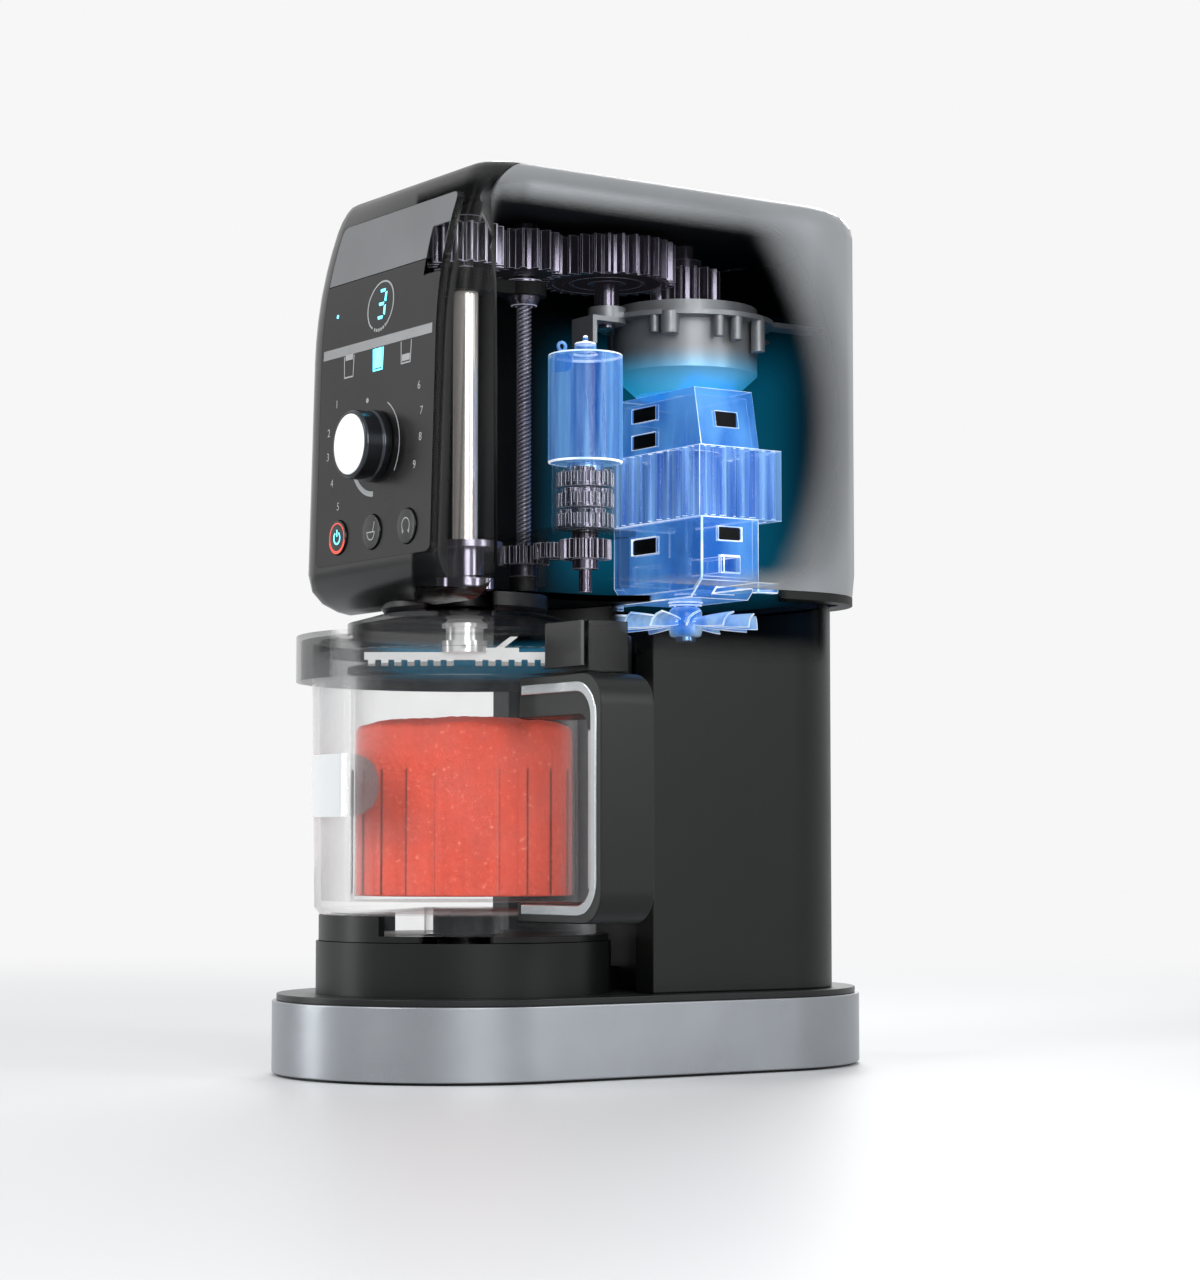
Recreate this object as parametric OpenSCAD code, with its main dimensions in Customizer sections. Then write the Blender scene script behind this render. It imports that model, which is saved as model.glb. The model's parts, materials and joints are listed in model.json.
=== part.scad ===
// Frozen-dessert maker: a motor head carried by a pillar over an oval base.
// Origin: centre of the base on the table. -Y is the front, +X the machine's right, +Z up.

/* [Base] */
// Width of the oval base
base_w = 164; // [156:1:176]
// Length of the oval base, front to back
base_l = 295; // [280:1:330]
// Height of the base's top plate above the table
deck_z = 36.5; // [30:0.5:40]
// Thickness of the base's top plate
deck_t = 3; // [2:0.5:5]
// Wall of the metal band round the base
band_wall = 3; // [2:0.1:5]
// Thickness of the base's closing plate
under_t = 3; // [2:0.5:5]
// Radius of the four anti-slip pads
pad_r = 9; // [6:0.5:14]

/* [Pillar] */
// Half width of the pillar
pillar_half = 68; // [64:1:72]
// Y of the pillar's front edges beside the bowl
pillar_front = -2; // [-10:1:10]
// Y of the pillar's back
pillar_back = 123; // [118:1:128]
// Radius of the pillar's rear corners
pillar_r = 45; // [35:1:50]
// Wall of the pillar
shell = 3; // [2:0.5:4]
// Room between the bowl and the hollow in the pillar's front
hollow_room = 9.5; // [9:0.5:12]
// Half width of the vent panel in the back
vent_half = 20; // [14:1:22]
// Bore of the cord gland
gland_bore = 3.6; // [2.5:0.1:5]

/* [Head] */
// Underside of the head
head_z = 217; // [216:0.5:222]
// Top of the head
head_top = 405.5; // [404:0.5:412]
// Half width of the head
head_half = 76; // [75:1:82]
// Y of the head's back
head_back = 134.5; // [134:0.5:142]
// Radius of the head's front corners
front_r = 24; // [18:1:28]
// Radius of the head's rear corners
rear_r = 50; // [40:1:56]
// Rounding along the head's top edge
top_r = 12; // [8:1:14]
// Y of the front face at the head's underside
face_y = -110.2; // [-114:0.1:-109]
// Y of the joint between front frame and side cover
seam_y = -90; // [-91:0.5:-86]
// Rounding of that joint where it turns over the top
seam_r = 22; // [14:1:24]
// Gap left in that joint
seam_gap = 0.8; // [0.3:0.1:1.5]
// Wall of the head's covers
cover_wall = 2.5; // [2:0.1:3]
// Thickness of the head's floor
floor_t = 3; // [2:0.5:3]

/* [Control panel] */
// Sideways offset of the panel's middle
panel_x = 1; // [-3:0.5:3]
// Half width of the control panel
panel_half = 51.5; // [48:0.5:52]
// Lower edge of the control panel
panel_z = 231.5; // [231:0.5:234]
// Height of the upper fascia above the control panel
fascia_h = 29.5; // [24:0.5:32]
// Thickness of the panel and the fascia
panel_t = 4; // [3:0.5:5]
// Height of the dial's centre
dial_z = 283; // [278:0.5:288]
// Radius of the dial at its foot
dial_r = 16.4; // [15.6:0.2:20]
// How far the dial stands out
dial_h = 13; // [10:0.5:16]
// Travel of the dial's centre button
cap_travel = 1.2; // [0.8:0.1:1.5]
// Radius of the dial's shaft
dial_pin = 3; // [2:0.1:4]
// Height of the row of keys
key_z = 244; // [242:0.5:250]
// Radius of each key
key_r = 7.8; // [6:0.2:9]
// Distance between neighbouring keys
key_step = 31; // [24:0.5:33]
// Travel of each key
key_travel = 0.8; // [0.4:0.1:0.8]
// Distance of the display window's centre below the fascia
display_drop = 16; // [14.5:0.5:18.5]
// Radius of the display window
display_r = 11.5; // [9:0.5:12]

/* [Bowl and tub] */
// Y of the axis of bowl, spindle and pedestal
bowl_y = -60; // [-62:0.5:-59]
// Outer radius of the bowl at its mouth
bowl_r = 69.5; // [68.5:0.1:70.5]
// How much narrower the bowl is at its foot
bowl_draft = 1.5; // [0.5:0.1:3]
// Wall of the clear bowl
bowl_wall = 3; // [2:0.2:4]
// Underside of the bowl's floor
bowl_z = 75; // [74.8:0.1:76]
// Height of the bowl's mouth
bowl_top = 190; // [189:0.5:190.5]
// Outer radius of the tub
tub_r = 52; // [51:0.1:53]
// Wall of the tub
tub_wall = 2; // [1.4:0.1:2.6]
// Height of the tub's mouth
tub_top = 184; // [180:0.5:184.5]
// Height of the frozen dessert in the tub
dessert_z = 160; // [110:1:164]
// Reach of the lid's rim past the bowl
lid_reach = 7.5; // [6.5:0.1:8.1]
// Wall of the lid
lid_wall = 2.2; // [1.6:0.1:2.4]
// Travel of the lid's latch button
latch_travel = 1.5; // [1:0.1:1.8]
// Reach of the handle past the bowl
handle_reach = 62.3; // [56.5:0.2:70.5]
// Half width of the handle
handle_half = 13.7; // [12:0.1:16]
// Lower end of the handle
handle_z0 = 69.5; // [69:0.5:72]
// Upper end of the handle
handle_z1 = 176; // [172:0.5:176]
// Depth of the grip
grip_t = 10.8; // [9:0.2:14]

/* [Pedestal] */
// How much narrower the pedestal is than the bowl
pedestal_inset = 2.3; // [0.5:0.1:2.5]
// Height of the pedestal's rim
pedestal_z = 60; // [58:0.5:60]
// Travel of the lifting platform
lift_travel = 6; // [3:0.5:6]
// Radius of the platform's stem
stem_r = 12; // [8:0.5:14]
// Radius of the release button
release_r = 5; // [4:0.5:6]
// Travel of the release button
release_travel = 2; // [1:0.5:2]

/* [Fits] */
// Radial clearance of turning and sliding pieces
fit = 0.08; // [0.05:0.01:0.1]
// Clearance round pieces that only pass each other
gap = 0.3; // [0.2:0.05:0.4]

/* [Spindle drive] */
// Module of the spindle gear train
train_m = 2; // [1.95:0.01:2.02]
// Teeth of the spindle gear and of the idler on the screw
pinion_n = 16; // [16:1:17]
// Teeth of the large idler
wheel_n = 31; // [30:1:32]
// Teeth of the gearbox's output gear
output_n = 15; // [15:1:16]
// Face width of the gear train
train_t = 18.3; // [16.5:0.1:18.5]
// Room above the gear train, up to the head's top
train_room = 16.7; // [16:0.1:18]
// Radius of the hollow spindle
spindle_r = 5.8; // [5.4:0.1:5.9]
// Width of the square drive rod inside the spindle
rod_w = 5; // [4:0.1:5.4]
// Radius of the lead screw
screw_r = 3.6; // [3:0.1:3.8]
// Thinning of each gear tooth, for play
tooth_play = 0.12; // [0.1:0.01:0.18]
// Radius of the journals and of the idler's axle
journal_r = 4; // [3.5:0.1:4.2]
// Outer radius of the gearbox cup
cup_r = 35; // [34:0.5:36]
// Module of the planetary gears
planet_m = 1.25; // [1.2:0.01:1.28]
// Radius of the motor's shaft
shaft_r = 4.9; // [4.4:0.1:4.9]
// Radius of the armature
rotor_r = 16.4; // [15:0.1:16.6]
// Radius of the cooling fan
fan_r = 35; // [30:0.5:36]
// Blades of the cooling fan
fan_blades = 12; // [8:1:14]

/* [Lift drive] */
// Module of the lift gears
lift_m = 1; // [0.98:0.01:1.02]
// Teeth of the lift gear and of the gear on the screw
lift_n = 22; // [21:1:23]
// Teeth of the lift idler
lift_idler_n = 17; // [16:1:18]
// Direction from the screw to the lift idler
lift_a1 = 13.4; // [10:0.1:18]
// Direction from the lift idler to the lift gear
lift_a2 = 14.3; // [10:0.1:18]
// Radius of the lift motor's case
lift_case_r = 17.2; // [16.2:0.1:18]

/* [Paddle] */
// Radius of the paddle's blades
blade_r = 46; // [40:0.5:47]
// Direction of the blades at rest
blade_a = 56; // [40:1:70]

/* [Hidden] */
$fn = 64;
rad = 180 / PI;
slack = 1;
base_r = base_w / 2;
base_s = base_l / 2 - base_r;
band_z0 = 1.2;
band_z1 = deck_z - deck_t;
inner_r = base_r - band_wall;
side_inset = 1;
lean = 0.0274;
bend_k = 0.00254;
front_wall = panel_t + 4;
floor_top = head_z + floor_t;
cover_z = head_z + 4;
fascia_top = head_top - top_r - 0.5;
fascia_z = fascia_top - fascia_h;
display_z = fascia_z - display_drop;
bend_z = fascia_z - 33.5;
rise = (fascia_top - fascia_z) / 3;
levels = [panel_z, bend_z, bend_z + 10, bend_z + 20, bend_z + 30,
          fascia_z, fascia_z + rise, fascia_z + 2 * rise, fascia_top];
chin = [[-6.5, 20], [-4.8, 14], [-1.1, 7], [4.6, 2], [12.5, 0]];

train_z1 = head_top - train_room;
train_z0 = train_z1 - train_t;
screw_y = bowl_y + train_m * pinion_n;
wheel_y = screw_y + train_m * (pinion_n + wheel_n) / 2;
motor_y = wheel_y + train_m * (wheel_n + output_n) / 2;
output_z0 = train_z0 - 6.1;
output_z1 = output_z0 + 17;
plate_z0 = train_z1 + 4.8;
plate_z1 = plate_z0 + 3;
boss_z = plate_z1 + 2.4;
knob_r = 6.3;

idler_x = lift_m * (lift_n + lift_idler_n) / 2 * cos(lift_a1);
idler_y = screw_y + lift_m * (lift_n + lift_idler_n) / 2 * sin(lift_a1);
lift_x = idler_x + lift_m * (lift_n + lift_idler_n) / 2 * cos(lift_a2);
lift_y = idler_y + lift_m * (lift_n + lift_idler_n) / 2 * sin(lift_a2);
lift_z0 = floor_top + 13.5;
lift_z1 = lift_z0 + 8.8;
lift_plate_z = lift_z1 + 1.2;
reducer_z0 = lift_plate_z + 2.5;
stage_h = 9.6;
stage_z = reducer_z0 + 1.2;
reducer_z1 = reducer_z0 + 31.6;
lift_case_z = reducer_z1 + 50.4;
reducer_r = 13.7;

collar_z0 = train_z0 - 12.3;
collar_z1 = collar_z0 + 10.2;
arm_z0 = collar_z0 + 1.2;
arm_z1 = arm_z0 + 6.2;
collar_r = 11.4;
flange_r = 8.3;
flange_z0 = collar_z0 + 3.6;
flange_z1 = flange_z0 + 3.4;
nut_z0 = collar_z0 - 0.2;
nut_z1 = nut_z0 + 8;
nut_r = 8.7;

sun_n = 12;
planet_n = 15;
ring_n = sun_n + 2 * planet_n;
orbit = planet_m * (sun_n + planet_n) / 2;
cup_z1 = train_z0 - 8.5;
cup_z0 = cup_z1 - 42;
planet_z0 = cup_z0 + 10;
planet_z1 = planet_z0 + 15;
seat_z = planet_z0 - 1;
disc_z = planet_z1 + 1.2;
lug_z = cup_z1 - 8.4;
axle_z = lug_z - 2.6;
hub_z = lug_z + 5.2;
lug_t = 2.4;
out_r = 6;

stator_z0 = floor_top + 38;
stator_z1 = stator_z0 + 34;
brush_z0 = floor_top + 11.6;
brush_z1 = brush_z0 + 8.1;
fan_z0 = head_z - 13.5;
fan_z1 = fan_z0 + 14.1;
case_x = 36.5;
case_y = 17;
case_t = 2;
pedestal_r = bowl_r - pedestal_inset;
hollow_r = bowl_r + hollow_room;
ped_plate = pedestal_z - lift_travel;
platform_r = pedestal_r - 1.2;
platform_z = pedestal_z + gap;
platform_t = 2.7;
platform_top = platform_z + platform_t;
skirt_r = pedestal_r - 6.7;
foot_r = bowl_r - 3.8;
foot_z = bowl_z - 3;
spigot_r = 14;
tub_z = bowl_z + bowl_wall;
bowl_bend = bowl_top - 16;
lid_r = bowl_r + lid_reach;
lid_z0 = bowl_top - 12.8;
lid_z1 = bowl_top + 8;
step_z = lid_z1 + 6;
step_r = 53.7;
neck_r = 38.2;
neck_z = head_z - 8.3;
hub_top = neck_z - 0.3;
blade_z = hub_top - 16.9;
peak_z = neck_z - 0.5;
hub_hole = 12.5;
latch_x = lid_r + 9;
latch_end = latch_x + 28;
latch_z = lid_z0 + 11.8;
latch_half = 12.5;
board_y = face(head_z) + front_wall + 5.2;
liner_gap = 1;
liner_y = head_back - cover_wall - liner_gap - 2.4;
liner_z = head_top - top_r + 1.6;
vent_z0 = 80;
vent_z1 = 180;
gland_z = 56;

// ---- shared shapes ----

module rod(r, z0, z1) {
  translate([0, 0, z0]) cylinder(r = r, h = z1 - z0);
}

module cone(r0, r1, z0, z1) {
  translate([0, 0, z0]) cylinder(r1 = r0, r2 = r1, h = z1 - z0);
}

module tube(ro, ri, z0, z1) {
  difference() {
    rod(ro, z0, z1);
    rod(ri, z0 - slack, z1 + slack);
  }
}

module block(x, y, z) {
  translate([x[0], y[0], z[0]]) cube([x[1] - x[0], y[1] - y[0], z[1] - z[0]]);
}

module slab(z0, z1) {
  translate([0, 0, z0]) linear_extrude(z1 - z0) children();
}

module along_x(x0, x1) {
  translate([x0, 0, 0]) rotate([90, 0, 90]) linear_extrude(x1 - x0) children();
}

module along_y(y0, y1) {
  translate([0, y1, 0]) rotate([90, 0, 0]) linear_extrude(y1 - y0) children();
}

// A rod along Y at the height z.
module pin_y(r, x, z, y0, y1) {
  translate([x, y0, z]) rotate([-90, 0, 0]) cylinder(r = r, h = y1 - y0);
}

module pin_x(r, y, z, x0, x1) {
  translate([x0, y, z]) rotate([0, 90, 0]) cylinder(r = r, h = x1 - x0);
}

module soft_rect(x0, x1, y0, y1, r) {
  translate([x0 + r, y0]) square([x1 - x0 - 2 * r, y1 - y0]);
  translate([x0, y0 + r]) square([x1 - x0, y1 - y0 - 2 * r]);
  for (x = [x0 + r, x1 - r]) for (y = [y0 + r, y1 - r]) translate([x, y]) circle(r);
}

module oval(r) {
  square([2 * r, 2 * base_s], center = true);
  for (y = [-base_s, base_s]) translate([0, y]) circle(r);
}

// Plan of the pillar, moved inwards by t.
module pillar_plan(t) {
  difference() {
    union() {
      translate([t - pillar_half, pillar_front + t])
        square([2 * (pillar_half - t), pillar_back - pillar_r - pillar_front - t]);
      translate([pillar_r - pillar_half, pillar_back - pillar_r])
        square([2 * (pillar_half - pillar_r), pillar_r - t]);
      for (x = [-1, 1]) translate([x * (pillar_half - pillar_r), pillar_back - pillar_r])
        circle(pillar_r - t);
    }
    translate([0, bowl_y]) circle(hollow_r + t);
  }
}

// Plan of the head behind the joint, moved inwards by t.
module head_plan(t, y0) {
  h = head_half - t;
  translate([-h, y0]) square([2 * h, head_back - rear_r - y0]);
  translate([rear_r - head_half, y0]) square([2 * (head_half - rear_r), head_back - t - y0]);
  for (x = [-1, 1]) translate([x * (head_half - rear_r), head_back - rear_r]) circle(rear_r - t);
}

// Y of the front face at the height z: a straight lower part that bends back above bend_z.
function face(z) = face_y + lean * (z - head_z) + bend_k * pow(max(z - bend_z, 0), 2);

// One horizontal outline of the head, its sides and its front moved inwards.
function ring(z, side, front, n = 6) =
  let(rf = max(front_r - max(side, front), 5), rr = rear_r - side, h = head_half - side)
  [for (c = [[-1, 0, 180], [1, 0, 270], [1, 1, 0], [-1, 1, 90]]) for (k = [0:n])
    let(r = c[1] == 0 ? rf : rr, a = c[2] + 90 * k / n)
    [c[0] * (h - r) + r * cos(a),
     (c[1] == 0 ? face(z) + front + r : head_back - side - r) + r * sin(a), z]];

// The rings from the panel's foot to the top, for a skin moved inwards by t, its front by f.
function upper_rings(t, f) = concat([for (z = levels) ring(z, t, f)],
  [for (a = [0:22.5:90]) let(r = top_r - t)
    ring(head_top - top_r + r * sin(a), t + r * (1 - cos(a)), f + 0.25 * r * (1 - cos(a)))]);

module loft(rings) {
  n = len(rings[0]);
  m = len(rings);
  polyhedron(points = [for (r = rings) for (p = r) p], faces = concat(
    [[for (j = [0:n - 1]) j]],
    [[for (j = [n - 1:-1:0]) (m - 1) * n + j]],
    [for (i = [0:m - 2]) for (j = [0:n - 1]) let(k = (j + 1) % n)
      [i * n + j, (i + 1) * n + j, (i + 1) * n + k]],
    [for (i = [0:m - 2]) for (j = [0:n - 1]) let(k = (j + 1) % n)
      [i * n + j, (i + 1) * n + k, i * n + k]]));
}

// Side view of what lies in front of the joint, moved forwards by g.
module seam_side(g) {
  difference() {
    translate([-200, 0]) square([200 + seam_y + seam_r - g, head_top + 50]);
    translate([seam_y - g, 0]) square([100, head_top - seam_r]);
    translate([seam_y + seam_r - g, head_top - seam_r]) circle(seam_r);
  }
}

// A sheet of thickness t that follows the front face from z0 to z1, set back by d.
module face_sheet(d, t) {
  along_x(-head_half, head_half) polygon(concat(
    [for (z = levels) [face(z) + d, z]],
    [for (i = [len(levels) - 1:-1:0]) [face(levels[i]) + d + t, levels[i]]]));
}

// ---- gears ----

function involute(n, m, play, t) = 90 / n - play * rad / (m * n) + tan(25) * rad - 25 - t + atan(t / rad);

function flank(n, m, play, tip, root) =
  let(rb = m * n / 2 * cos(25), t0 = root > rb ? rad * sqrt(pow(root / rb, 2) - 1) : 0,
      t1 = rad * sqrt(pow(tip / rb, 2) - 1))
  concat(root < rb ? [[root, involute(n, m, play, 0)]] : [],
    [for (k = [0:4]) let(t = t0 + (t1 - t0) * k / 4)
      [rb * sqrt(1 + pow(t / rad, 2)), involute(n, m, play, t)]]);

// Involute teeth with a pressure angle of 25 degrees; one tooth points along the angle phase.
module teeth(n, m, play, add, ded, phase = 0) {
  f = flank(n, m, play, m * n / 2 + add, m * n / 2 - ded);
  c = len(f) - 1;
  polygon([for (i = [0:n - 1]) for (s = [-1, 1]) for (k = [0:c])
    let(q = f[s < 0 ? k : c - k], a = phase + i * 360 / n + s * q[1]) q[0] * [cos(a), sin(a)]]);
}

module gear(n, m, z0, z1, phase = 0) {
  slab(z0, z1) teeth(n, m, tooth_play, m, 1.25 * m, phase);
}

// Phase of a gear with n2 teeth that lies in the direction dir from a gear with n1 teeth.
function mesh(n1, p1, n2, dir) = dir + 180 + ((dir - p1) * n1 / 360 + 0.5) * 360 / n2;

p_spindle = 0;
p_screw = mesh(pinion_n, p_spindle, pinion_n, 90);
p_wheel = mesh(pinion_n, p_screw, wheel_n, 90);
p_output = mesh(wheel_n, p_wheel, output_n, 90);
p_lift = 0;
p_lift_idler = mesh(lift_n, p_lift, lift_idler_n, lift_a1);
p_lift_out = mesh(lift_idler_n, p_lift_idler, lift_n, lift_a2);
p_planet = [for (k = [0:2]) mesh(sun_n, 0, planet_n, 120 * k)];
p_ring = p_planet[0] * planet_n / ring_n;

// ---- base ----

module base_band() {
  color("silver") slab(band_z0, band_z1) difference() {
    oval(base_r);
    oval(inner_r);
  }
}

module base_deck() {
  color("#26282b") difference() {
    union() {
      slab(band_z1, deck_z) oval(base_r - 2);
      slab(band_z1 - 4, band_z1) oval(inner_r);
    }
    slab(band_z1 - 4 - slack, band_z1) oval(inner_r - 3);
    translate([0, bowl_y, 0]) rod(stem_r + 7, band_z1 - slack, deck_z + slack);
  }
}

module base_underplate() {
  color("#1c1d1f") difference() {
    slab(0, under_t) oval(inner_r);
    base_spots() rod(pad_r, -slack, 1.4);
  }
}

module base_spots() {
  for (x = [-1, 1]) for (y = [-1, 1])
    translate([x * (base_r - 32), y * base_s, 0]) children();
}

module base_pads() {
  color("#111111") base_spots() rod(pad_r, 0, 1.4);
}

// ---- pedestal and lifting platform ----

module pedestal() {
  color("#26282b") difference() {
    translate([0, bowl_y, 0]) union() {
      tube(pedestal_r, pedestal_r - 4, deck_z, ped_plate);
      rod(pedestal_r, ped_plate - 4, ped_plate);
      tube(pedestal_r, platform_r + gap, ped_plate - 0.5, pedestal_z);
      rod(stem_r + 5, ped_plate - 12, ped_plate);
      slab(deck_z, 47) intersection() {
        translate([-10, 0]) square([20, hollow_r + 10]);
        difference() {
          circle(hollow_r);
          circle(pedestal_r - 1);
        }
      }
    }
    translate([0, bowl_y, 0]) rod(stem_r + fit, 0, ped_plate + slack);
    pin_x(release_r + fit, bowl_y, deck_z + 8, -pedestal_r - 5, -pedestal_r + 8);
  }
}

module platform() {
  color("#33363a") translate([0, bowl_y, 0]) {
    difference() {
      rod(platform_r, platform_z, platform_top);
      rod(spigot_r - 4, platform_z - slack, platform_top + slack);
    }
    tube(spigot_r, spigot_r - 4, platform_z, bowl_z - 1);
    tube(stem_r, stem_r - 4, ped_plate - 14, platform_z);
    tube(stem_r + 3, stem_r - 4, ped_plate - 16, ped_plate - 14);
    slab(platform_z, foot_z - gap) intersection() {
      difference() {
        circle(platform_r);
        circle(skirt_r + 1.2);
      }
      polygon([[0, 0], 120 * [cos(294), sin(294)], 120 * [cos(235), sin(235)], 120 * [-1, 0]]);
    }
  }
}

module release_button() {
  color("#111111") difference() {
    pin_x(release_r, bowl_y, deck_z + 8, -pedestal_r - 2.4, -pedestal_r + 6);
    pin_x(release_r - 1.6, bowl_y, deck_z + 8, -pedestal_r, -pedestal_r + 7);
  }
}

// ---- pillar ----

module pillar_shell() {
  color("#1d1f22") difference() {
    slab(deck_z, head_z) pillar_plan(0);
    slab(deck_z - slack, head_z + slack) pillar_plan(shell);
    block([-vent_half, vent_half], [pillar_back - shell - 5, pillar_back + 5], [vent_z0, vent_z1]);
    pin_y(7, 0, gland_z, pillar_back - 10, pillar_back + 10);
  }
}

module rear_vent_panel() {
  color("#2b2d30") difference() {
    block([-vent_half, vent_half], [pillar_back - shell, pillar_back - 0.6], [vent_z0, vent_z1]);
    for (z = [vent_z0 + 6:8:vent_z1 - 10])
      block([5 - vent_half, vent_half - 5], [pillar_back - 9, pillar_back + 5], [z, z + 3.2]);
  }
}

module cord_gland() {
  color("#111111") difference() {
    union() {
      pin_y(7, 0, gland_z, pillar_back - shell - 4, pillar_back + 3);
      pin_y(10, 0, gland_z, pillar_back, pillar_back + 2);
      pin_y(5.6, 0, gland_z, pillar_back + 2, pillar_back + 9);
    }
    pin_y(gland_bore, 0, gland_z, pillar_back - 20, pillar_back + 20);
  }
}

// ---- head ----

module head_cover() {
  color("#c9ccd1") difference() {
    loft(concat([ring(cover_z, side_inset, side_inset)], upper_rings(0, 0)));
    loft(concat([ring(cover_z - slack, cover_wall, front_wall)], upper_rings(cover_wall, front_wall)));
    along_x(-200, 200) seam_side(-seam_gap);
  }
}

module front_frame() {
  color("#3a3d42") difference() {
    intersection() {
      loft(concat([for (c = chin) ring(head_z + c[0], c[1], c[1])], upper_rings(0, 0)));
      along_x(-200, 200) seam_side(0);
    }
    loft(concat([ring(floor_top, cover_wall, front_wall)], upper_rings(cover_wall, front_wall)));
    intersection() {
      face_sheet(-5, panel_t + 5);
      along_y(-200, 0) soft_rect(-panel_half, panel_half, panel_z, fascia_top, 4);
    }
    translate([0, bowl_y, 0]) rod(neck_r + gap, head_z - 20, head_z);
    pin_y(7 + gap, panel_x, dial_z, -150, -90);
    pin_y(display_r - 2, panel_x, display_z, -150, -90);
  }
}

module head_floor() {
  color("#222427") difference() {
    union() {
      slab(head_z, floor_top) head_plan(side_inset + 0.2, seam_y);
      slab(floor_top - 0.5, cover_z) difference() {
        head_plan(side_inset + 0.2, seam_y);
        head_plan(5, seam_y - 10);
      }
      translate([0, screw_y, 0]) rod(6.5, head_z, floor_top + 7.4);
      translate([idler_x, idler_y, 0]) {
        rod(4, floor_top - 1, lift_z0 + 1.3);
        rod(2, lift_z0 + 0.5, lift_plate_z);
      }
      translate([lift_x, lift_y, 0]) rod(6.5, head_z, floor_top + 8.6);
    }
    translate([0, bowl_y, 0]) rod(10, head_z - 5, floor_top + 5);
    translate([0, screw_y, 0]) rod(2.8 + fit, head_z + 1, floor_top + 20);
    translate([lift_x, lift_y, 0]) rod(3 + fit, head_z + 1, floor_top + 20);
    slab(head_z - 5, floor_top + 5) soft_rect(-60, 60, 26, 115, 8);
  }
}

module lid_socket() {
  color("#2b2d30") translate([0, bowl_y, 0]) difference() {
    union() {
      rod(neck_r, neck_z + 2, head_z);
      cone(neck_r - 1.5, neck_r, neck_z, neck_z + 2);
    }
    rod(spindle_r + 0.8, neck_z - slack, head_z + slack);
    rod(hub_hole, neck_z + 3, head_z + slack);
  }
}

// ---- front of the head ----

module panel_cut(z0, z1, r) {
  intersection() {
    face_sheet(0, panel_t);
    along_y(-200, 0) soft_rect(-panel_half, panel_half, z0, z1, r);
  }
}

module fascia_plate() {
  color("#d8dade") difference() {
    panel_cut(panel_z, fascia_top, 4);
    block([-100, 100], [-200, 0], [0, fascia_z + 0.3]);
  }
}

module control_panel() {
  color("#0f1012") difference() {
    panel_cut(panel_z, fascia_top, 4);
    block([-100, 100], [-200, 0], [fascia_z, head_top]);
    pin_y(dial_pin + 1.5, panel_x, dial_z, -150, -90);
    pin_y(display_r, panel_x, display_z, -150, -90);
    for (i = [-1:1]) pin_y(key_r + gap, panel_x + i * key_step, key_z, -150, -90);
  }
}

module display_window() {
  color("#102024") intersection() {
    face_sheet(0, panel_t);
    pin_y(display_r, panel_x, display_z, -150, -90);
  }
}

module control_board() {
  color("#0d3b24") difference() {
    union() {
      block([-44, 44], [board_y, board_y + 1.6], [panel_z + 6.5, fascia_z - 29.5]);
      for (x = [-38, 38]) for (z = [panel_z + 12.5, fascia_z - 37.5])
        pin_y(3, x, z, face(z) + front_wall, board_y + 0.5);
      pin_y(7, panel_x, dial_z, face(dial_z) + panel_t + 0.4, board_y + 0.5);
    }
    pin_y(dial_pin + fit, panel_x, dial_z, -150, board_y - 1.5);
  }
}

dial_foot = face(dial_z - dial_r) - 0.2;
dial_front = dial_foot - dial_h;

module dial_ring() {
  color("#3c3f44") difference() {
    union() {
      pin_y(dial_r, panel_x, dial_z, dial_foot - 4, dial_foot);
      pin_y(dial_r - 0.6, panel_x, dial_z, dial_front, dial_foot - 4);
      pin_y(dial_pin, panel_x, dial_z, dial_foot - 2, board_y - 1.8);
    }
    pin_y(dial_r - 2.4, panel_x, dial_z, dial_front - slack, dial_front + 5);
  }
}

module dial_cap() {
  color("white") pin_y(dial_r - 2.4 - fit, panel_x, dial_z, dial_front - 0.5, dial_front + 3.4);
}

module key(i) {
  y = face(key_z - key_r) - 0.9;
  pin_y(key_r, panel_x + i * key_step, key_z, y, y + panel_t - key_travel);
}

module power_key() {
  color("#1a1b1d") key(-1);
}

module mode_key() {
  color("#1a1b1d") key(0);
}

module repeat_key() {
  color("#1a1b1d") key(1);
}

// ---- inside the head ----

module inner_liner() {
  color("#0a0a0b") slab(cover_z, liner_z) difference() {
    head_plan(cover_wall + liner_gap, -78);
    head_plan(head_back - liner_y, -100);
    translate([44, -100]) square([100, 300]);
  }
}

module train_plate() {
  color("#9a9da2") difference() {
    union() {
      slab(plate_z0, plate_z1) {
        translate([-40, -75]) square([80, 63 + liner_y]);
        translate([-25, 0]) square([50, liner_y]);
      }
      for (y = [bowl_y, motor_y]) translate([0, y, 0]) rod(8, plate_z0, boss_z);
    }
    for (y = [bowl_y, motor_y]) translate([0, y, 0]) rod(journal_r + fit, plate_z0 - 5, plate_z1 + 5);
    translate([0, screw_y, 0]) rod(knob_r + fit, plate_z0 - 5, plate_z1 + 5);
  }
}

module spindle_gear() {
  color("#55585e") translate([0, bowl_y, 0]) {
    gear(pinion_n, train_m, train_z0, train_z1, p_spindle);
    rod(9, train_z1 - 1, plate_z0 - gap);
    rod(journal_r, plate_z0 - 1, boss_z);
    slab(floor_top + 4, train_z0 + 1) square(rod_w, center = true);
  }
}

module screw_idler() {
  color("#55585e") translate([0, screw_y, 0]) difference() {
    gear(pinion_n, train_m, train_z0, train_z1, p_screw);
    rod(screw_r + fit, train_z0 - 5, train_z1 + 5);
    tube(11, 7, train_z1 - 2, train_z1 + 5);
  }
}

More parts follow.
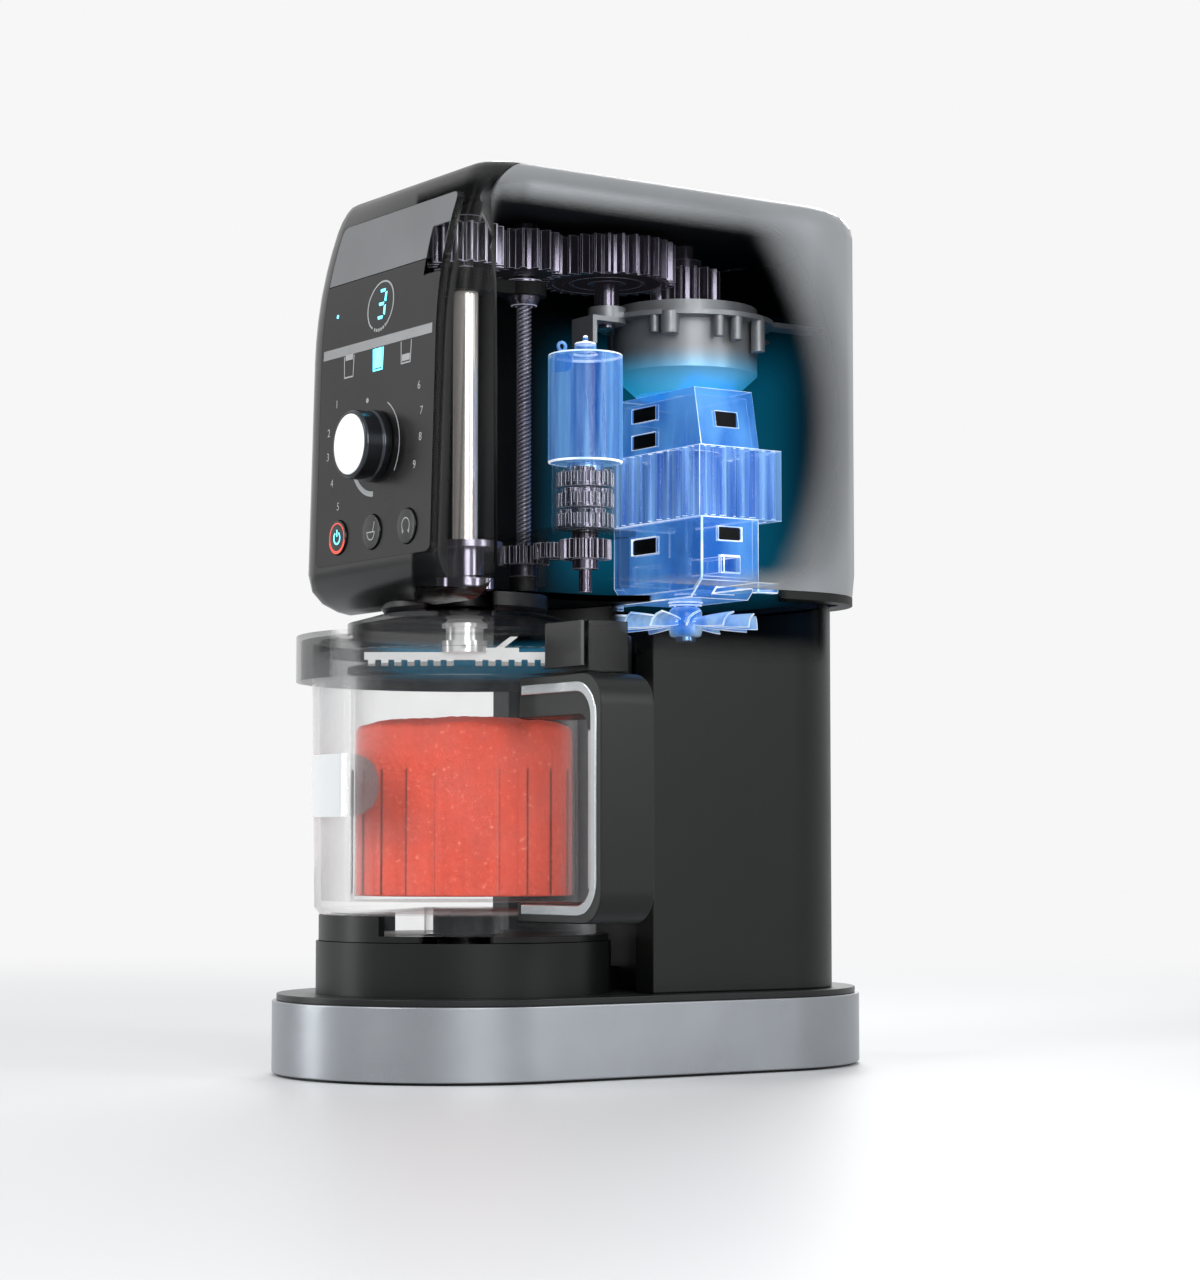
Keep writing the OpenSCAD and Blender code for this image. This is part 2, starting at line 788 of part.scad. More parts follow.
module wheel_idler() {
  color("#55585e") translate([0, wheel_y, 0]) difference() {
    gear(wheel_n, train_m, train_z0, train_z1, p_wheel);
    rod(journal_r + fit, train_z0 - 5, train_z1 + 5);
    tube(26, 9, train_z1 - 3.8, train_z1 + 5);
    tube(26, 18, train_z0 - 5, train_z0 + 9.5);
    tube(16.5, 9, train_z0 - 5, train_z0 + 9.5);
  }
}

module wheel_axle() {
  color("silver") translate([0, wheel_y, 0]) {
    rod(journal_r, lug_z - 4.6, plate_z0);
    rod(6, hub_z, train_z0 - gap);
  }
}

module output_carrier() {
  color("#55585e") translate([0, motor_y, 0]) {
    gear(output_n, train_m, output_z0, output_z1, p_output);
    rod(8, output_z1 - 1, output_z1 + 4.9);
    rod(journal_r, output_z1 + 4.6, boss_z);
    rod(out_r, disc_z + 1.8, output_z0 + 1);
    difference() {
      rod(23, disc_z, disc_z + 3.8);
      for (k = [0:2]) rotate(60 + 120 * k) translate([orbit, 0, 0]) rod(4, disc_z - 5, disc_z + 10);
    }
    for (k = [0:2]) rotate(120 * k) translate([orbit, 0, 0]) rod(3, planet_z0, disc_z + 0.8);
  }
}

module sun_pinion() {
  color("#8d9096") translate([0, motor_y, 0]) difference() {
    gear(sun_n, planet_m, planet_z0, planet_z1, 0);
    rod(shaft_r, planet_z0 - 5, planet_z1 + 5);
  }
}

module planet(k) {
  color("#8d9096") translate([0, motor_y, 0]) rotate(120 * k) translate([orbit, 0, 0]) difference() {
    gear(planet_n, planet_m, planet_z0, planet_z1, p_planet[k] - 120 * k);
    rod(3 + fit, planet_z0 - 5, planet_z1 + 5);
  }
}

module planet_a() {
  planet(0);
}

module planet_b() {
  planet(1);
}

module planet_c() {
  planet(2);
}

module ring_gear() {
  color("#8d9096") translate([0, motor_y, 0]) difference() {
    rod(cup_r - 3, seat_z, planet_z1 + 0.5);
    slab(seat_z - 5, planet_z1 + 5) teeth(ring_n, planet_m, -tooth_play, 1.25 * planet_m, planet_m, p_ring);
  }
}

module gearbox_cup() {
  color("#8f9398") translate([0, motor_y, 0]) difference() {
    union() {
      rotate_extrude() polygon([[0, cup_z0], [cup_r - 11, cup_z0], [cup_r, cup_z0 + 10], [cup_r, cup_z1],
        [cup_r - 3, cup_z1], [cup_r - 3, seat_z], [cup_r - 8, seat_z], [cup_r - 8, cup_z0 + 4],
        [0, cup_z0 + 4]]);
      rod(cup_r - 2, lug_z, lug_z + lug_t);
      rod(out_r + 4, lug_z, lug_z + 6);
      tube(cup_r + 8, cup_r - 1, lug_z, lug_z + lug_t);
      translate([-9, wheel_y - motor_y, lug_z]) cube([18, motor_y - wheel_y - cup_r + 1, lug_t]);
      translate([0, wheel_y - motor_y, 0]) rod(9, axle_z, hub_z);
      translate([-9, wheel_y - motor_y - 14, axle_z]) cube([18, 14, 2.4]);
      translate([-9, wheel_y - motor_y - 14, axle_z - 11]) cube([18, 2.4, 13]);
      for (x = [-28, 16]) translate([x, cup_r - 5, lug_z])
        cube([12, liner_y - motor_y - cup_r + 5, lug_t]);
    }
    rod(shaft_r + fit, cup_z0 - 5, cup_z0 + 10);
    rod(out_r + fit, lug_z - 5, lug_z + 10);
    translate([0, wheel_y - motor_y, 0]) rod(journal_r, axle_z - 20, hub_z + 10);
  }
}

// ---- main motor ----

module stator() {
  color("#3c78c8") difference() {
    block([-case_x, case_x], [motor_y - 18, motor_y + 30.6], [stator_z0, stator_z1]);
    translate([0, motor_y, 0]) rod(rotor_r + 0.6, stator_z0 - 5, stator_z1 + 5);
    for (x = [-1, 1]) translate([x * 27, motor_y + 22, 0]) rod(5, stator_z0 - 5, stator_z1 + 5);
  }
}

module upper_bracket() {
  color("#3c78c8") difference() {
    along_y(motor_y - case_y, motor_y + case_y)
      polygon([[-case_x, stator_z1], [case_x, stator_z1], [31, cup_z0], [-31, cup_z0]]);
    along_y(motor_y - case_y + case_t, motor_y + case_y - case_t)
      polygon([[case_t - case_x, stator_z1 - 1], [case_x - case_t, stator_z1 - 1],
        [29, cup_z0 - 3], [-29, cup_z0 - 3]]);
    translate([0, motor_y, 0]) rod(shaft_r + fit, cup_z0 - 10, cup_z0 + 10);
    for (z = [stator_z1 + 3, stator_z1 + 16]) block([-21, -1], [motor_y - 60, motor_y], [z, z + 7]);
    block([20, 60], [motor_y - 6.5, motor_y + 6.5], [stator_z1 + 9.5, stator_z1 + 17]);
    block([-60, -20], [motor_y - 6.5, motor_y + 6.5], [stator_z1 + 9.5, stator_z1 + 17]);
  }
}

module lower_bracket() {
  color("#3c78c8") difference() {
    union() {
      along_y(motor_y - case_y, motor_y + case_y) polygon([[-case_x, stator_z0], [case_x, stator_z0],
        [case_x, floor_top + 8], [28, floor_top], [-28, floor_top], [-case_x, floor_top + 8]]);
      block([-66, 66], [motor_y - 6, motor_y + 6], [floor_top + 2, floor_top + 5]);
      for (x = [-66, 61]) block([x, x + 5], [motor_y - 6, motor_y + 6], [floor_top, floor_top + 3]);
      translate([0, motor_y, 0]) rod(8, head_z + 1.2, floor_top + 4);
    }
    along_y(motor_y - case_y + case_t, motor_y + case_y - case_t) polygon([[case_t - case_x, stator_z0 + 1],
      [case_x - case_t, stator_z0 + 1], [case_x - case_t, floor_top + 10], [27, floor_top + 4],
      [-27, floor_top + 4], [case_t - case_x, floor_top + 10]]);
    translate([0, motor_y, 0]) rod(shaft_r + fit, head_z - 17, floor_top + 20);
    block([-21, -1], [motor_y - 60, motor_y], [brush_z1 + 3.8, brush_z1 + 11.3]);
    block([20, 60], [motor_y - 6.5, motor_y + 6.5], [brush_z1 + 7.7, brush_z1 + 13.9]);
    block([-60, 60], [motor_y - 5, motor_y + 5], [brush_z0, brush_z1]);
  }
}

module brush_holders() {
  color("#b8bcc2") difference() {
    block([-38, 38], [motor_y - 5, motor_y + 5], [brush_z0, brush_z1]);
    translate([0, motor_y, 0]) rod(12.3, brush_z0 - 10, brush_z1 + 10);
  }
}

module rotor() {
  color("#9aa8c0") translate([0, motor_y, 0]) {
    rod(shaft_r, fan_z0 - 2.5, planet_z1);
    rod(rotor_r, stator_z0 + 2, stator_z1 - 2);
    rod(12, brush_z0 - 0.6, brush_z1 + 1.3);
  }
}

module cooling_fan() {
  color("#d5e4f4") translate([0, motor_y, 0]) difference() {
    union() {
      rod(shaft_r + 3, fan_z0, fan_z1);
      intersection() {
        for (i = [0:fan_blades - 1]) rotate(i * 360 / fan_blades) translate([fan_r / 2, 0, fan_z0 + 7])
          rotate([50, 0, 0]) cube([fan_r + 6, 1.2, 30], center = true);
        tube(fan_r, shaft_r + 2, fan_z0 + 0.5, fan_z1 - 0.4);
      }
    }
    rod(shaft_r, fan_z0 - 10, fan_z1 + 10);
  }
}

// ---- lift drive ----

module lead_screw() {
  color("#5a5d63") translate([0, screw_y, 0]) {
    gear(lift_n, lift_m, lift_z0 - 0.1, lift_z0 + 7.9, p_lift);
    rod(6.2, floor_top + 7.8, lift_z0 + 0.5);
    rod(2.8, head_z + 1.4, floor_top + 8);
    rod(screw_r, lift_z0 + 7.5, train_z1);
    rod(5, collar_z1 + 1, train_z0 - gap);
    rod(2.9, train_z1 - 1, plate_z0 - 1.6);
    rod(knob_r, plate_z0 - 2.6, plate_z1 + 1.4);
  }
}

module lift_idler() {
  color("#d9dbde") translate([idler_x, idler_y, 0]) difference() {
    gear(lift_idler_n, lift_m, lift_z0 + 1.5, lift_z0 + 8.5, p_lift_idler);
    rod(2 + fit, lift_z0 - 3.5, lift_z1 + 8);
  }
}

module lift_output() {
  color("#e4e2da") translate([lift_x, lift_y, 0]) {
    gear(lift_n, lift_m, lift_z0, lift_z1, p_lift_out);
    rod(6, floor_top + 9, lift_z0 + 1);
    rod(3, head_z + 1.4, floor_top + 9.5);
    rod(6, lift_z1 - 1, stage_z + 0.8);
    for (s = [0:2]) translate([0, 0, stage_z + stage_h * s]) {
      rod(12.6, 0, 2);
      rod(2.4, 0.8, stage_h + 0.2);
      for (k = [0:2]) rotate(120 * k + 40 * s) translate([7.3, 0, 0])
        slab(1.4, stage_h - 0.8) difference() {
          circle(5.2);
          for (i = [0:8]) rotate(40 * i) translate([5.2, 0]) circle(0.9, $fn = 16);
        }
    }
  }
}

module lift_reducer() {
  color("#cfd6dc", 0.5) translate([lift_x, lift_y, 0])
    tube(lift_case_r - 1.7, reducer_r, reducer_z0, reducer_z1);
}

module lift_motor() {
  color("#6f747b") translate([lift_x, lift_y, 0]) {
    rod(lift_case_r, reducer_z1, lift_case_z);
    rod(5, lift_case_z - 1, lift_case_z + 5.6);
    rod(1.2, lift_case_z + 5, lift_case_z + 9);
  }
}

module lift_gear_plate() {
  color("#7d8187") difference() {
    union() {
      slab(lift_plate_z, reducer_z0) soft_rect(-20, lift_x + 20, screw_y - 16, screw_y + 26, 5);
      for (p = [[-15, 6], [lift_x + 14, 20.6], [30, -10]]) translate([p[0], screw_y + p[1], 0])
        rod(3, floor_top, lift_plate_z + 1);
    }
    translate([0, screw_y, 0]) rod(screw_r + gap, lift_plate_z - 3.5, reducer_z0 + 4);
    translate([lift_x, lift_y, 0]) rod(6 + fit, lift_plate_z - 3.5, reducer_z0 + 4);
  }
}

// ---- spindle and carriage ----

module spindle_guide() {
  color("#4a4d52") translate([0, bowl_y, 0]) difference() {
    union() {
      rod(12, floor_top, floor_top + 5);
      for (k = [0:2]) rotate(30 + 120 * k) translate([11, 0, 0]) rod(3.6, floor_top, floor_top + 5);
      rod(8.8, floor_top + 4, floor_top + 20);
      rod(17.4, floor_top + 19, floor_top + 22);
    }
    rod(spindle_r + fit, head_z - 17, floor_top + 40);
  }
}

module feed_carriage() {
  color("#33363a") difference() {
    union() {
      translate([0, bowl_y, 0]) rod(collar_r, collar_z0, collar_z1);
      block([-6, 6], [bowl_y, screw_y], [arm_z0, arm_z1]);
      translate([0, screw_y, 0]) rod(nut_r + 1.8, arm_z0, arm_z1);
    }
    translate([0, bowl_y, 0]) {
      rod(spindle_r + fit, collar_z0 - 8, collar_z1 + 12);
      rod(flange_r + fit, flange_z0 - fit, flange_z1 + fit);
    }
    translate([0, screw_y, 0]) rod(nut_r - 1.2, collar_z0 - 8, collar_z1 + 12);
  }
}

module feed_nut() {
  color("#b98d3e") translate([0, screw_y, 0]) difference() {
    union() {
      rod(nut_r - 1.2, nut_z0, nut_z1);
      rod(nut_r, arm_z1, nut_z1 + 1);
      cone(6, nut_r - 1.2, nut_z0 - 3, nut_z0);
    }
    rod(screw_r + fit, nut_z0 - 18, nut_z1 + 14);
  }
}

module spindle() {
  color("#d0d3d8") translate([0, bowl_y, 0]) difference() {
    union() {
      rod(spindle_r, hub_top - 8.6, collar_z1 - 1);
      rod(flange_r, flange_z0, flange_z1);
    }
    slab(hub_top - 5.4, train_z0) square(rod_w + 0.2, center = true);
  }
}

module paddle() {
  color("#202225") translate([0, bowl_y, 0]) {
    difference() {
      union() {
        cone(9.5, 6.4, hub_top - 3.9, hub_top);
        rod(10.5, hub_top - 5.7, hub_top - 3.9);
        rod(8.7, hub_top - 11.9, hub_top - 5.4);
        rod(10.4, blade_z - 0.3, hub_top - 11.8);
      }
      rod(spindle_r, hub_top - 8.6, hub_top + 11.6);
      rotate(-34) translate([0, 0, blade_z + 1.9]) rotate([0, 90, 0]) cylinder(r = 1.2, h = 30);
    }
    rotate(blade_a) {
      block([-blade_r, blade_r], [-1.5, 1.5], [blade_z - 3.5, blade_z]);
      for (i = [0:6]) for (s = [-1, 1])
        translate([s * (blade_r - 3.4 - 6 * i) - 1.6, -1.5, blade_z - 6.3]) cube([3.2, 3, 3]);
      block([8, 25], [-1.3, 1.3], [blade_z - 0.5, blade_z + 2]);
      along_y(-1.3, 1.3) translate([0, blade_z]) polygon([[15, -0.5], [24.5, 7.1], [21, 7.1], [11, -0.5]]);
    }
  }
}

// ---- bowl, tub, lid, handle ----

module bowl() {
  color("#dfe8ee", 0.35) translate([0, bowl_y, 0]) {
    rotate_extrude() polygon([[spigot_r + 4, bowl_z], [foot_r, foot_z], [bowl_r - bowl_draft, bowl_z],
      [bowl_r, bowl_bend], [bowl_r, bowl_top], [bowl_r - bowl_wall, bowl_top],
      [bowl_r - bowl_wall, bowl_bend],
      [bowl_r - bowl_draft - bowl_wall, tub_z], [0, tub_z], [0, bowl_z]]);
    tube(foot_r, foot_r - 3, foot_z, bowl_z + 1);
    tube(skirt_r, skirt_r - 3, platform_top + 0.1, bowl_z + 1);
    tube(spigot_r + 4, spigot_r + fit, platform_top + 0.1, bowl_z + 1);
    for (a = [0, 120, 240]) intersection() {
      tube(bowl_r + 2.5, bowl_r - 1, bowl_top - 7, bowl_top - 3);
      rotate(a + 20) translate([0, -7, bowl_top - 10]) cube([bowl_r + 10.5, 14, 10]);
    }
  }
}

module tub() {
  color("#e6eef2", 0.35) translate([0, bowl_y, 0]) {
    difference() {
      rod(tub_r, tub_z, tub_top);
      rod(tub_r - tub_wall, tub_z + 2.2, tub_top + slack);
    }
    tube(tub_r + 1.6, tub_r - 0.5, tub_top - 3, tub_top);
    for (i = [0:23]) rotate(15 * i) translate([tub_r - 0.5, -0.7, tub_z + 3]) cube([1.7, 1.4, 56]);
  }
}

module frozen_dessert() {
  color("#e8323c") translate([0, bowl_y, 0]) {
    rod(tub_r - tub_wall - gap, tub_z + 2.2, dessert_z - 4);
    cone(tub_r - tub_wall - gap, tub_r - tub_wall - 9, dessert_z - 4, dessert_z);
  }
}

module lid() {
  color("#5c6570", 0.5) translate([0, bowl_y, 0]) difference() {
    union() {
      rod(lid_r, lid_z0, lid_z1);
      rod(step_r, lid_z1 - 1, step_z);
      cone(step_r, neck_r + 0.4, step_z, peak_z);
      block([lid_r - 6, latch_x], [-latch_half, latch_half], [lid_z0, lid_z1 + 1]);
      block([latch_x - 1, latch_end], [latch_travel + 0.3 - latch_half + 2.5, latch_half],
        [lid_z0, lid_z1 + 1]);
    }
    rod(lid_r - lid_wall, lid_z0 - slack, bowl_top);
    difference() {
      rod(lid_r - lid_wall, bowl_top - slack, lid_z1 - lid_wall);
      tube(bowl_r, bowl_r - bowl_wall, bowl_top, lid_z1);
    }
    rod(step_r - lid_wall, lid_z1 - lid_wall - slack, step_z - 1);
    cone(step_r - lid_wall, neck_r - 2, step_z - 1, peak_z - 2.2);
    rod(hub_hole, bowl_top, peak_z + 12);
    block([latch_x + 6, latch_end - 2.2], [3, latch_half - 2.2], [lid_z0 - 5, lid_z1 - 1.2]);
    pin_y(3 + fit, latch_x + 15, latch_z, -20, 20);
  }
}

module lid_latch_button() {
  color("#2a2c30") translate([0, bowl_y, 0]) {
    block([latch_x + gap, latch_end], [-latch_half, 2.5 - latch_half], [lid_z0 + 1.8, lid_z1 + 1]);
    pin_y(3, latch_x + 15, latch_z, 2 - latch_half, 6);
  }
}

handle_end = bowl_r + handle_reach;
grip_x = handle_end - grip_t;
strip_x = grip_x + 4.8;

module handle() {
  color("#24262a") translate([0, bowl_y, 0]) difference() {
    along_y(-handle_half, handle_half) difference() {
      soft_rect(0, handle_end, handle_z0, handle_z1, 14);
      soft_rect(0, grip_x, handle_z0 + 8.5, handle_z1 - 18, 6);
      translate([grip_x - 1, handle_z0 + 14]) square([strip_x - grip_x + 1, handle_z1 - handle_z0 - 38]);
    }
    cone(bowl_r - bowl_draft + 0.05, bowl_r + 0.05, bowl_z, bowl_bend);
    rod(bowl_r - bowl_draft + 0.05, handle_z0 - slack, bowl_z + 0.1);
    rod(bowl_r + 0.05, bowl_bend - 0.1, handle_z1 + slack);
  }
}

module handle_strip() {
  color("#d5dade") translate([0, bowl_y, 0])
    block([grip_x, strip_x], [-handle_half, handle_half], [handle_z0 + 14, handle_z1 - 24]);
}

// ---- assembly ----

base_band();
base_deck();
base_underplate();
base_pads();
pedestal();
platform();
release_button();
pillar_shell();
rear_vent_panel();
cord_gland();
head_cover();
front_frame();
head_floor();
lid_socket();
fascia_plate();
control_panel();
display_window();
control_board();
dial_ring();
dial_cap();
power_key();
mode_key();
repeat_key();
inner_liner();
train_plate();
spindle_gear();
screw_idler();
wheel_idler();
wheel_axle();
output_carrier();
sun_pinion();
planet_a();
planet_b();
planet_c();
ring_gear();
gearbox_cup();
stator();
upper_bracket();
lower_bracket();
brush_holders();
rotor();
cooling_fan();
lead_screw();
lift_idler();
lift_output();
lift_reducer();
lift_motor();
lift_gear_plate();
spindle_guide();
feed_carriage();
feed_nut();
spindle();
paddle();
bowl();
tub();
frozen_dessert();
lid();
lid_latch_button();
handle();
handle_strip();
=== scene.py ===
"""Frozen-dessert maker with an open view of its drive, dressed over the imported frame."""

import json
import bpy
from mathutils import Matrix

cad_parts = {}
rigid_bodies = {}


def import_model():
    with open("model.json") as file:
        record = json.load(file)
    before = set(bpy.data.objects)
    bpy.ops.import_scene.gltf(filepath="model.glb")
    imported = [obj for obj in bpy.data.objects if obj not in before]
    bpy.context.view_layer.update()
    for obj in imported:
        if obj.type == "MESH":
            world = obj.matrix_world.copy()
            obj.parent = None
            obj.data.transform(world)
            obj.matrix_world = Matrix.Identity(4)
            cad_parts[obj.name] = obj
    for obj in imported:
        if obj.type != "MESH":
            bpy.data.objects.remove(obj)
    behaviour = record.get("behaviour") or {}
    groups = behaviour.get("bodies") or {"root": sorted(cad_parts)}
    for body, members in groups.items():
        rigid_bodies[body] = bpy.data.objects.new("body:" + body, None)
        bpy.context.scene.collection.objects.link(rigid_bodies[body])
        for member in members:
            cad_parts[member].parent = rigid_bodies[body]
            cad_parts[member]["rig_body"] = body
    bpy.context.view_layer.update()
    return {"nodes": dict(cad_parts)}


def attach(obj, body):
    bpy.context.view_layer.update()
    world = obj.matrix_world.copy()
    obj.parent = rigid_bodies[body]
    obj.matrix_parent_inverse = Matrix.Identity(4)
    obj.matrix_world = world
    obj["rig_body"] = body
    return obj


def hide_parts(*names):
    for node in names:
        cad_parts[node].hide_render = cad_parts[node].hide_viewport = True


bl_info = {
    "name": "Frozen dessert maker",
    "version": (1, 0, 0),
    "blender": (4, 5, 0),
    "location": "3D View > Sidebar > Dessert maker",
    "description": "Dresses the frozen-dessert maker and sets its stage",
    "category": "Object",
}

from math import atan, atan2, cos, hypot, radians, sin, sqrt, tau

import bmesh
import bpy
from mathutils import Matrix, Vector, noise

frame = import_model()

MM = 0.001

# Upright axes of the drive, in metres.
SPINDLE_Y = -0.060
SCREW_Y = -0.028
MOTOR_Y = 0.065
LIFT = (0.03787, -0.018665)

# The direction (x, y) that runs across the main view.
SIDE = (0.5612, 0.8277)
# Colour of the painted cyan glow round the motor and the paddle.
CYAN = "0a7fa6"

# How bright the backdrop shows.
BACKDROP = 0.93

# The head's front face, in millimetres: straight and leaning, then bent back.
FRONT_Y, FRONT_FOOT = -110.2, 217
FRONT_LEAN, FRONT_BEND, BEND_FROM = 0.0274, 0.00254, 330
FACETS = (231.5, BEND_FROM, 340, 350, 360, 363.5, 373.33, 383.17, 393)

# Places on the panel, in millimetres.
PANEL_X = 1
DIAL_Z, DIAL_RADIUS = 283, 16.4
KEY_Z, KEY_RADIUS, KEY_SUNK = 244, 7.8, 0.9
KEYS = {"power_key": -30, "mode_key": PANEL_X, "repeat_key": 32}


# ---- Node trees


def fit(thing, **settings):
    """Sets several values of a thing and gives it back."""
    for key, value in settings.items():
        setattr(thing, key, value)
    return thing


def maths(operation, swapped=False):
    """A method that adds a Math node."""
    def method(self, other):
        pair = (other, self) if swapped else (self, other)
        return self.shop.node("ShaderNodeMath", {"operation": operation}, *pair)
    return method


class Wire:
    """One socket of a node tree; sums, products and powers of it add Math nodes."""

    def __init__(self, shop, socket):
        self.shop = shop
        self.socket = socket

    __add__ = __radd__ = maths("ADD")
    __sub__, __rsub__ = maths("SUBTRACT"), maths("SUBTRACT", True)
    __mul__ = __rmul__ = maths("MULTIPLY")
    __pow__, __rpow__ = maths("POWER"), maths("POWER", True)
    most = maths("MAXIMUM")

    def limited(self):
        """Kept between 0 and 1."""
        return self.shop.node("ShaderNodeMath", {"operation": "ADD", "use_clamp": True}, self, 0.0)

    def ramp(self, low, high):
        """0 below low, 1 above high, smooth between; low may be the larger."""
        start, end = (1.0, 0.0) if low > high else (0.0, 1.0)
        return self.shop.node("ShaderNodeMapRange", {"interpolation_type": "SMOOTHSTEP"}, self,
                              min(low, high), max(low, high), start, end)


class Shop:
    """The node tree of one material, or of the world."""

    def __init__(self, name, store="materials"):
        self.owner = getattr(bpy.data, store).new(name)
        self.owner.use_nodes = True
        self.tree = self.owner.node_tree
        self.shader = self.tree.nodes.get("Principled BSDF")

    def put(self, socket, value):
        """Links a wire to a socket, or sets its value."""
        if isinstance(value, Wire):
            self.tree.links.new(value.socket, socket)
        elif socket.type == "RGBA":
            socket.default_value = rgb(value) + (1.0,)
        else:
            socket.default_value = value

    def node(self, kind, settings=None, *values, pick=0, **named):
        """Adds a node: its settings, its sockets by place or by name, and the output to pick."""
        made = fit(self.tree.nodes.new(kind), **(settings or {}))
        for index, value in enumerate(values):
            self.put(made.inputs[index], value)
        for key, value in named.items():
            self.put(made.inputs[key], value)
        return Wire(self, made.outputs[pick])

    def outputs(self, wire):
        """Every output of the node that a wire leaves."""
        return [Wire(self, out) for out in wire.socket.node.outputs]

    def place(self, stretch=1.0):
        """Object coordinates in metres; a small stretch draws a pattern out along Z, or along
        the axes of three numbers."""
        here = self.node("ShaderNodeTexCoord", pick="Object")
        scale = stretch if isinstance(stretch, tuple) else (1, 1, stretch)
        return self.node("ShaderNodeMapping", None, here, Scale=scale)

    def axes(self, vector):
        return self.outputs(self.node("ShaderNodeSeparateXYZ", None, vector))

    def facing(self):
        """0 where the surface faces the eye, 1 along its rim."""
        return self.node("ShaderNodeLayerWeight", pick="Facing", Blend=0.5)

    def noise(self, vector, scale, detail=3.0, rough=0.5):
        return self.node("ShaderNodeTexNoise", Vector=vector, Scale=scale, Detail=detail,
                         Roughness=rough)

    def blend(self, amount, first, second):
        """Mixes two colours."""
        made = self.node("ShaderNodeMix", {"data_type": "RGBA"}, amount, pick=2)
        for index, colour in ((6, first), (7, second)):
            self.put(made.socket.node.inputs[index], colour)
        return made

    def bump(self, height, strength, distance):
        return self.node("ShaderNodeBump", Height=height, Strength=strength, Distance=distance)

    def set(self, **values):
        """Sets or links the shader's sockets and gives back the material."""
        for key, value in values.items():
            self.put(self.shader.inputs[key.replace("_", " ")], value)
        return self.owner


def rgb(code):
    """A linear colour from six hex digits; a colour stays as it is."""
    if not isinstance(code, str):
        return tuple(code)
    parts = [int(code[i:i + 2], 16) / 255 for i in (0, 2, 4)]
    return tuple(p / 12.92 if p <= 0.04045 else ((p + 0.055) / 1.055) ** 2.4 for p in parts)


def shade(colour, gain):
    return tuple(gain * part for part in rgb(colour))


# ---- Finishes


def opening(shop, **spans):
    """1 inside the ramps, 0 outside. Across and toward follow the main view, reach is the distance
    from the spindle, and shown is 1 where the front's faces are seen from the open side."""
    x, y, z = shop.axes(shop.place())
    axis = dict(x=x, y=y, z=z, across=x * SIDE[0] + y * SIDE[1], toward=x * SIDE[1] - y * SIDE[0],
                reach=(x * x + (y - SPINDLE_Y) * (y - SPINDLE_Y)) ** 0.5)
    if "shown" in spans:
        facing = shop.facing()
        side = x.ramp(0.060, 0.064)
        axis["shown"] = facing.ramp(0.25, 0.33) * (1 - side) + facing.ramp(0.36, 0.26) * side
    inside = 1.0
    for name, ramps in spans.items():
        for low, high in ramps:
            inside = axis[name].ramp(low, high) * inside
    return inside


def moulded(name, colour, rough, grain=0.12, coat=0.0, gloss=0.22, hole=None, most=1.0):
    """Moulded plastic: fine grain in the gloss and in the surface, see-through in a hole."""
    shop = Shop(name)
    here = shop.place()
    fine = shop.noise(here, 2400.0, 2.0)
    broad = shop.noise(here, 35.0)
    if hole:
        shop.set(Alpha=(1 - opening(shop, **hole) * most).limited())
    return shop.set(
        Base_Color=shop.blend(broad, shade(colour, 0.86), shade(colour, 1.12)),
        Roughness=(rough + (broad - 0.5) * 0.12 + (fine - 0.5) * 0.1).limited(),
        Specular_IOR_Level=gloss, Normal=shop.bump(fine, grain, 0.00015), Coat_Weight=coat,
        Coat_Roughness=0.12)


def metal(name, colour, rough=0.25, stretch=1.0, streak=0.1, metallic=1.0, size=900.0,
          hole=None, glow=0.0):
    """Metal with fine streaks along the axis that stretch makes short. Glow is painted light: an
    even emission in the metal's own tone that brightens parts in the dark head.
    """
    shop = Shop(name)
    lines = shop.noise(shop.place(stretch), size, 2.0)
    broad = shop.noise(shop.place(), 28.0)
    tone = shop.blend(broad, shade(colour, 0.88), shade(colour, 1.1))
    if hole:
        shop.set(Alpha=(1 - opening(shop, **hole)).limited())
    return shop.set(
        Base_Color=tone, Metallic=metallic, Normal=shop.bump(lines, streak * 0.6, 0.0001),
        Roughness=(rough + (lines - 0.5) * streak + (broad - 0.5) * 0.08).limited(),
        Emission_Color=tone, Emission_Strength=glow)


def luminous(name, deep, light, low, high, glow, stretch=1.0, size=55.0):
    """Glass with painted light: deep and light swirls that paint reflections, clearer in its
    middle, a painted pale sheen along its edges and a painted glow.
    """
    shop = Shop(name)
    rim = shop.facing() ** 1.6
    swirl = shop.noise(shop.place(stretch), size, 3.0, 0.55).ramp(0.36, 0.64)
    tone = shop.blend((swirl * 0.75 + rim * 0.9).limited(), deep, light)
    return shop.set(Base_Color=tone, Roughness=(0.1 + swirl * 0.12).limited(), IOR=1.45,
                    Alpha=(low + (high - low) * rim + (swirl - 0.5) * 0.22).limited(),
                    Emission_Color=tone, Emission_Strength=glow)


def clear(name, body, edge, low, high, power, rough=0.06, streak=0.0, gloss=0.5, holes=(),
          halo=None):
    """Clear plastic: see-through where it faces the eye, solid along its edges, where a lighter
    colour paints its sheen; halo paints a cyan glow into it.
    """
    shop = Shop(name)
    rim = shop.facing() ** power
    swirl = shop.noise(shop.place(), 60.0, 2.0)
    alpha = low + (high - low) * rim + (swirl - 0.5) * 0.05
    for hole, most in holes:
        alpha = alpha * (1 - opening(shop, **hole) * most)
    # A painted cyan glow inside the halo's region.
    if halo:
        shop.set(Emission_Color=shop.blend(opening(shop, **halo), (0, 0, 0), CYAN),
                 Emission_Strength=0.45)
    if streak:
        lines = shop.noise(shop.place(0.04), 400.0, 2.0)
        shop.set(Normal=shop.bump(lines, streak, 0.0002))
    return shop.set(
        Base_Color=shop.blend(rim, body, edge), Roughness=(rough + (swirl - 0.5) * 0.05).limited(),
        Alpha=alpha.limited(), IOR=1.45, Specular_IOR_Level=gloss)


FINISH = {}


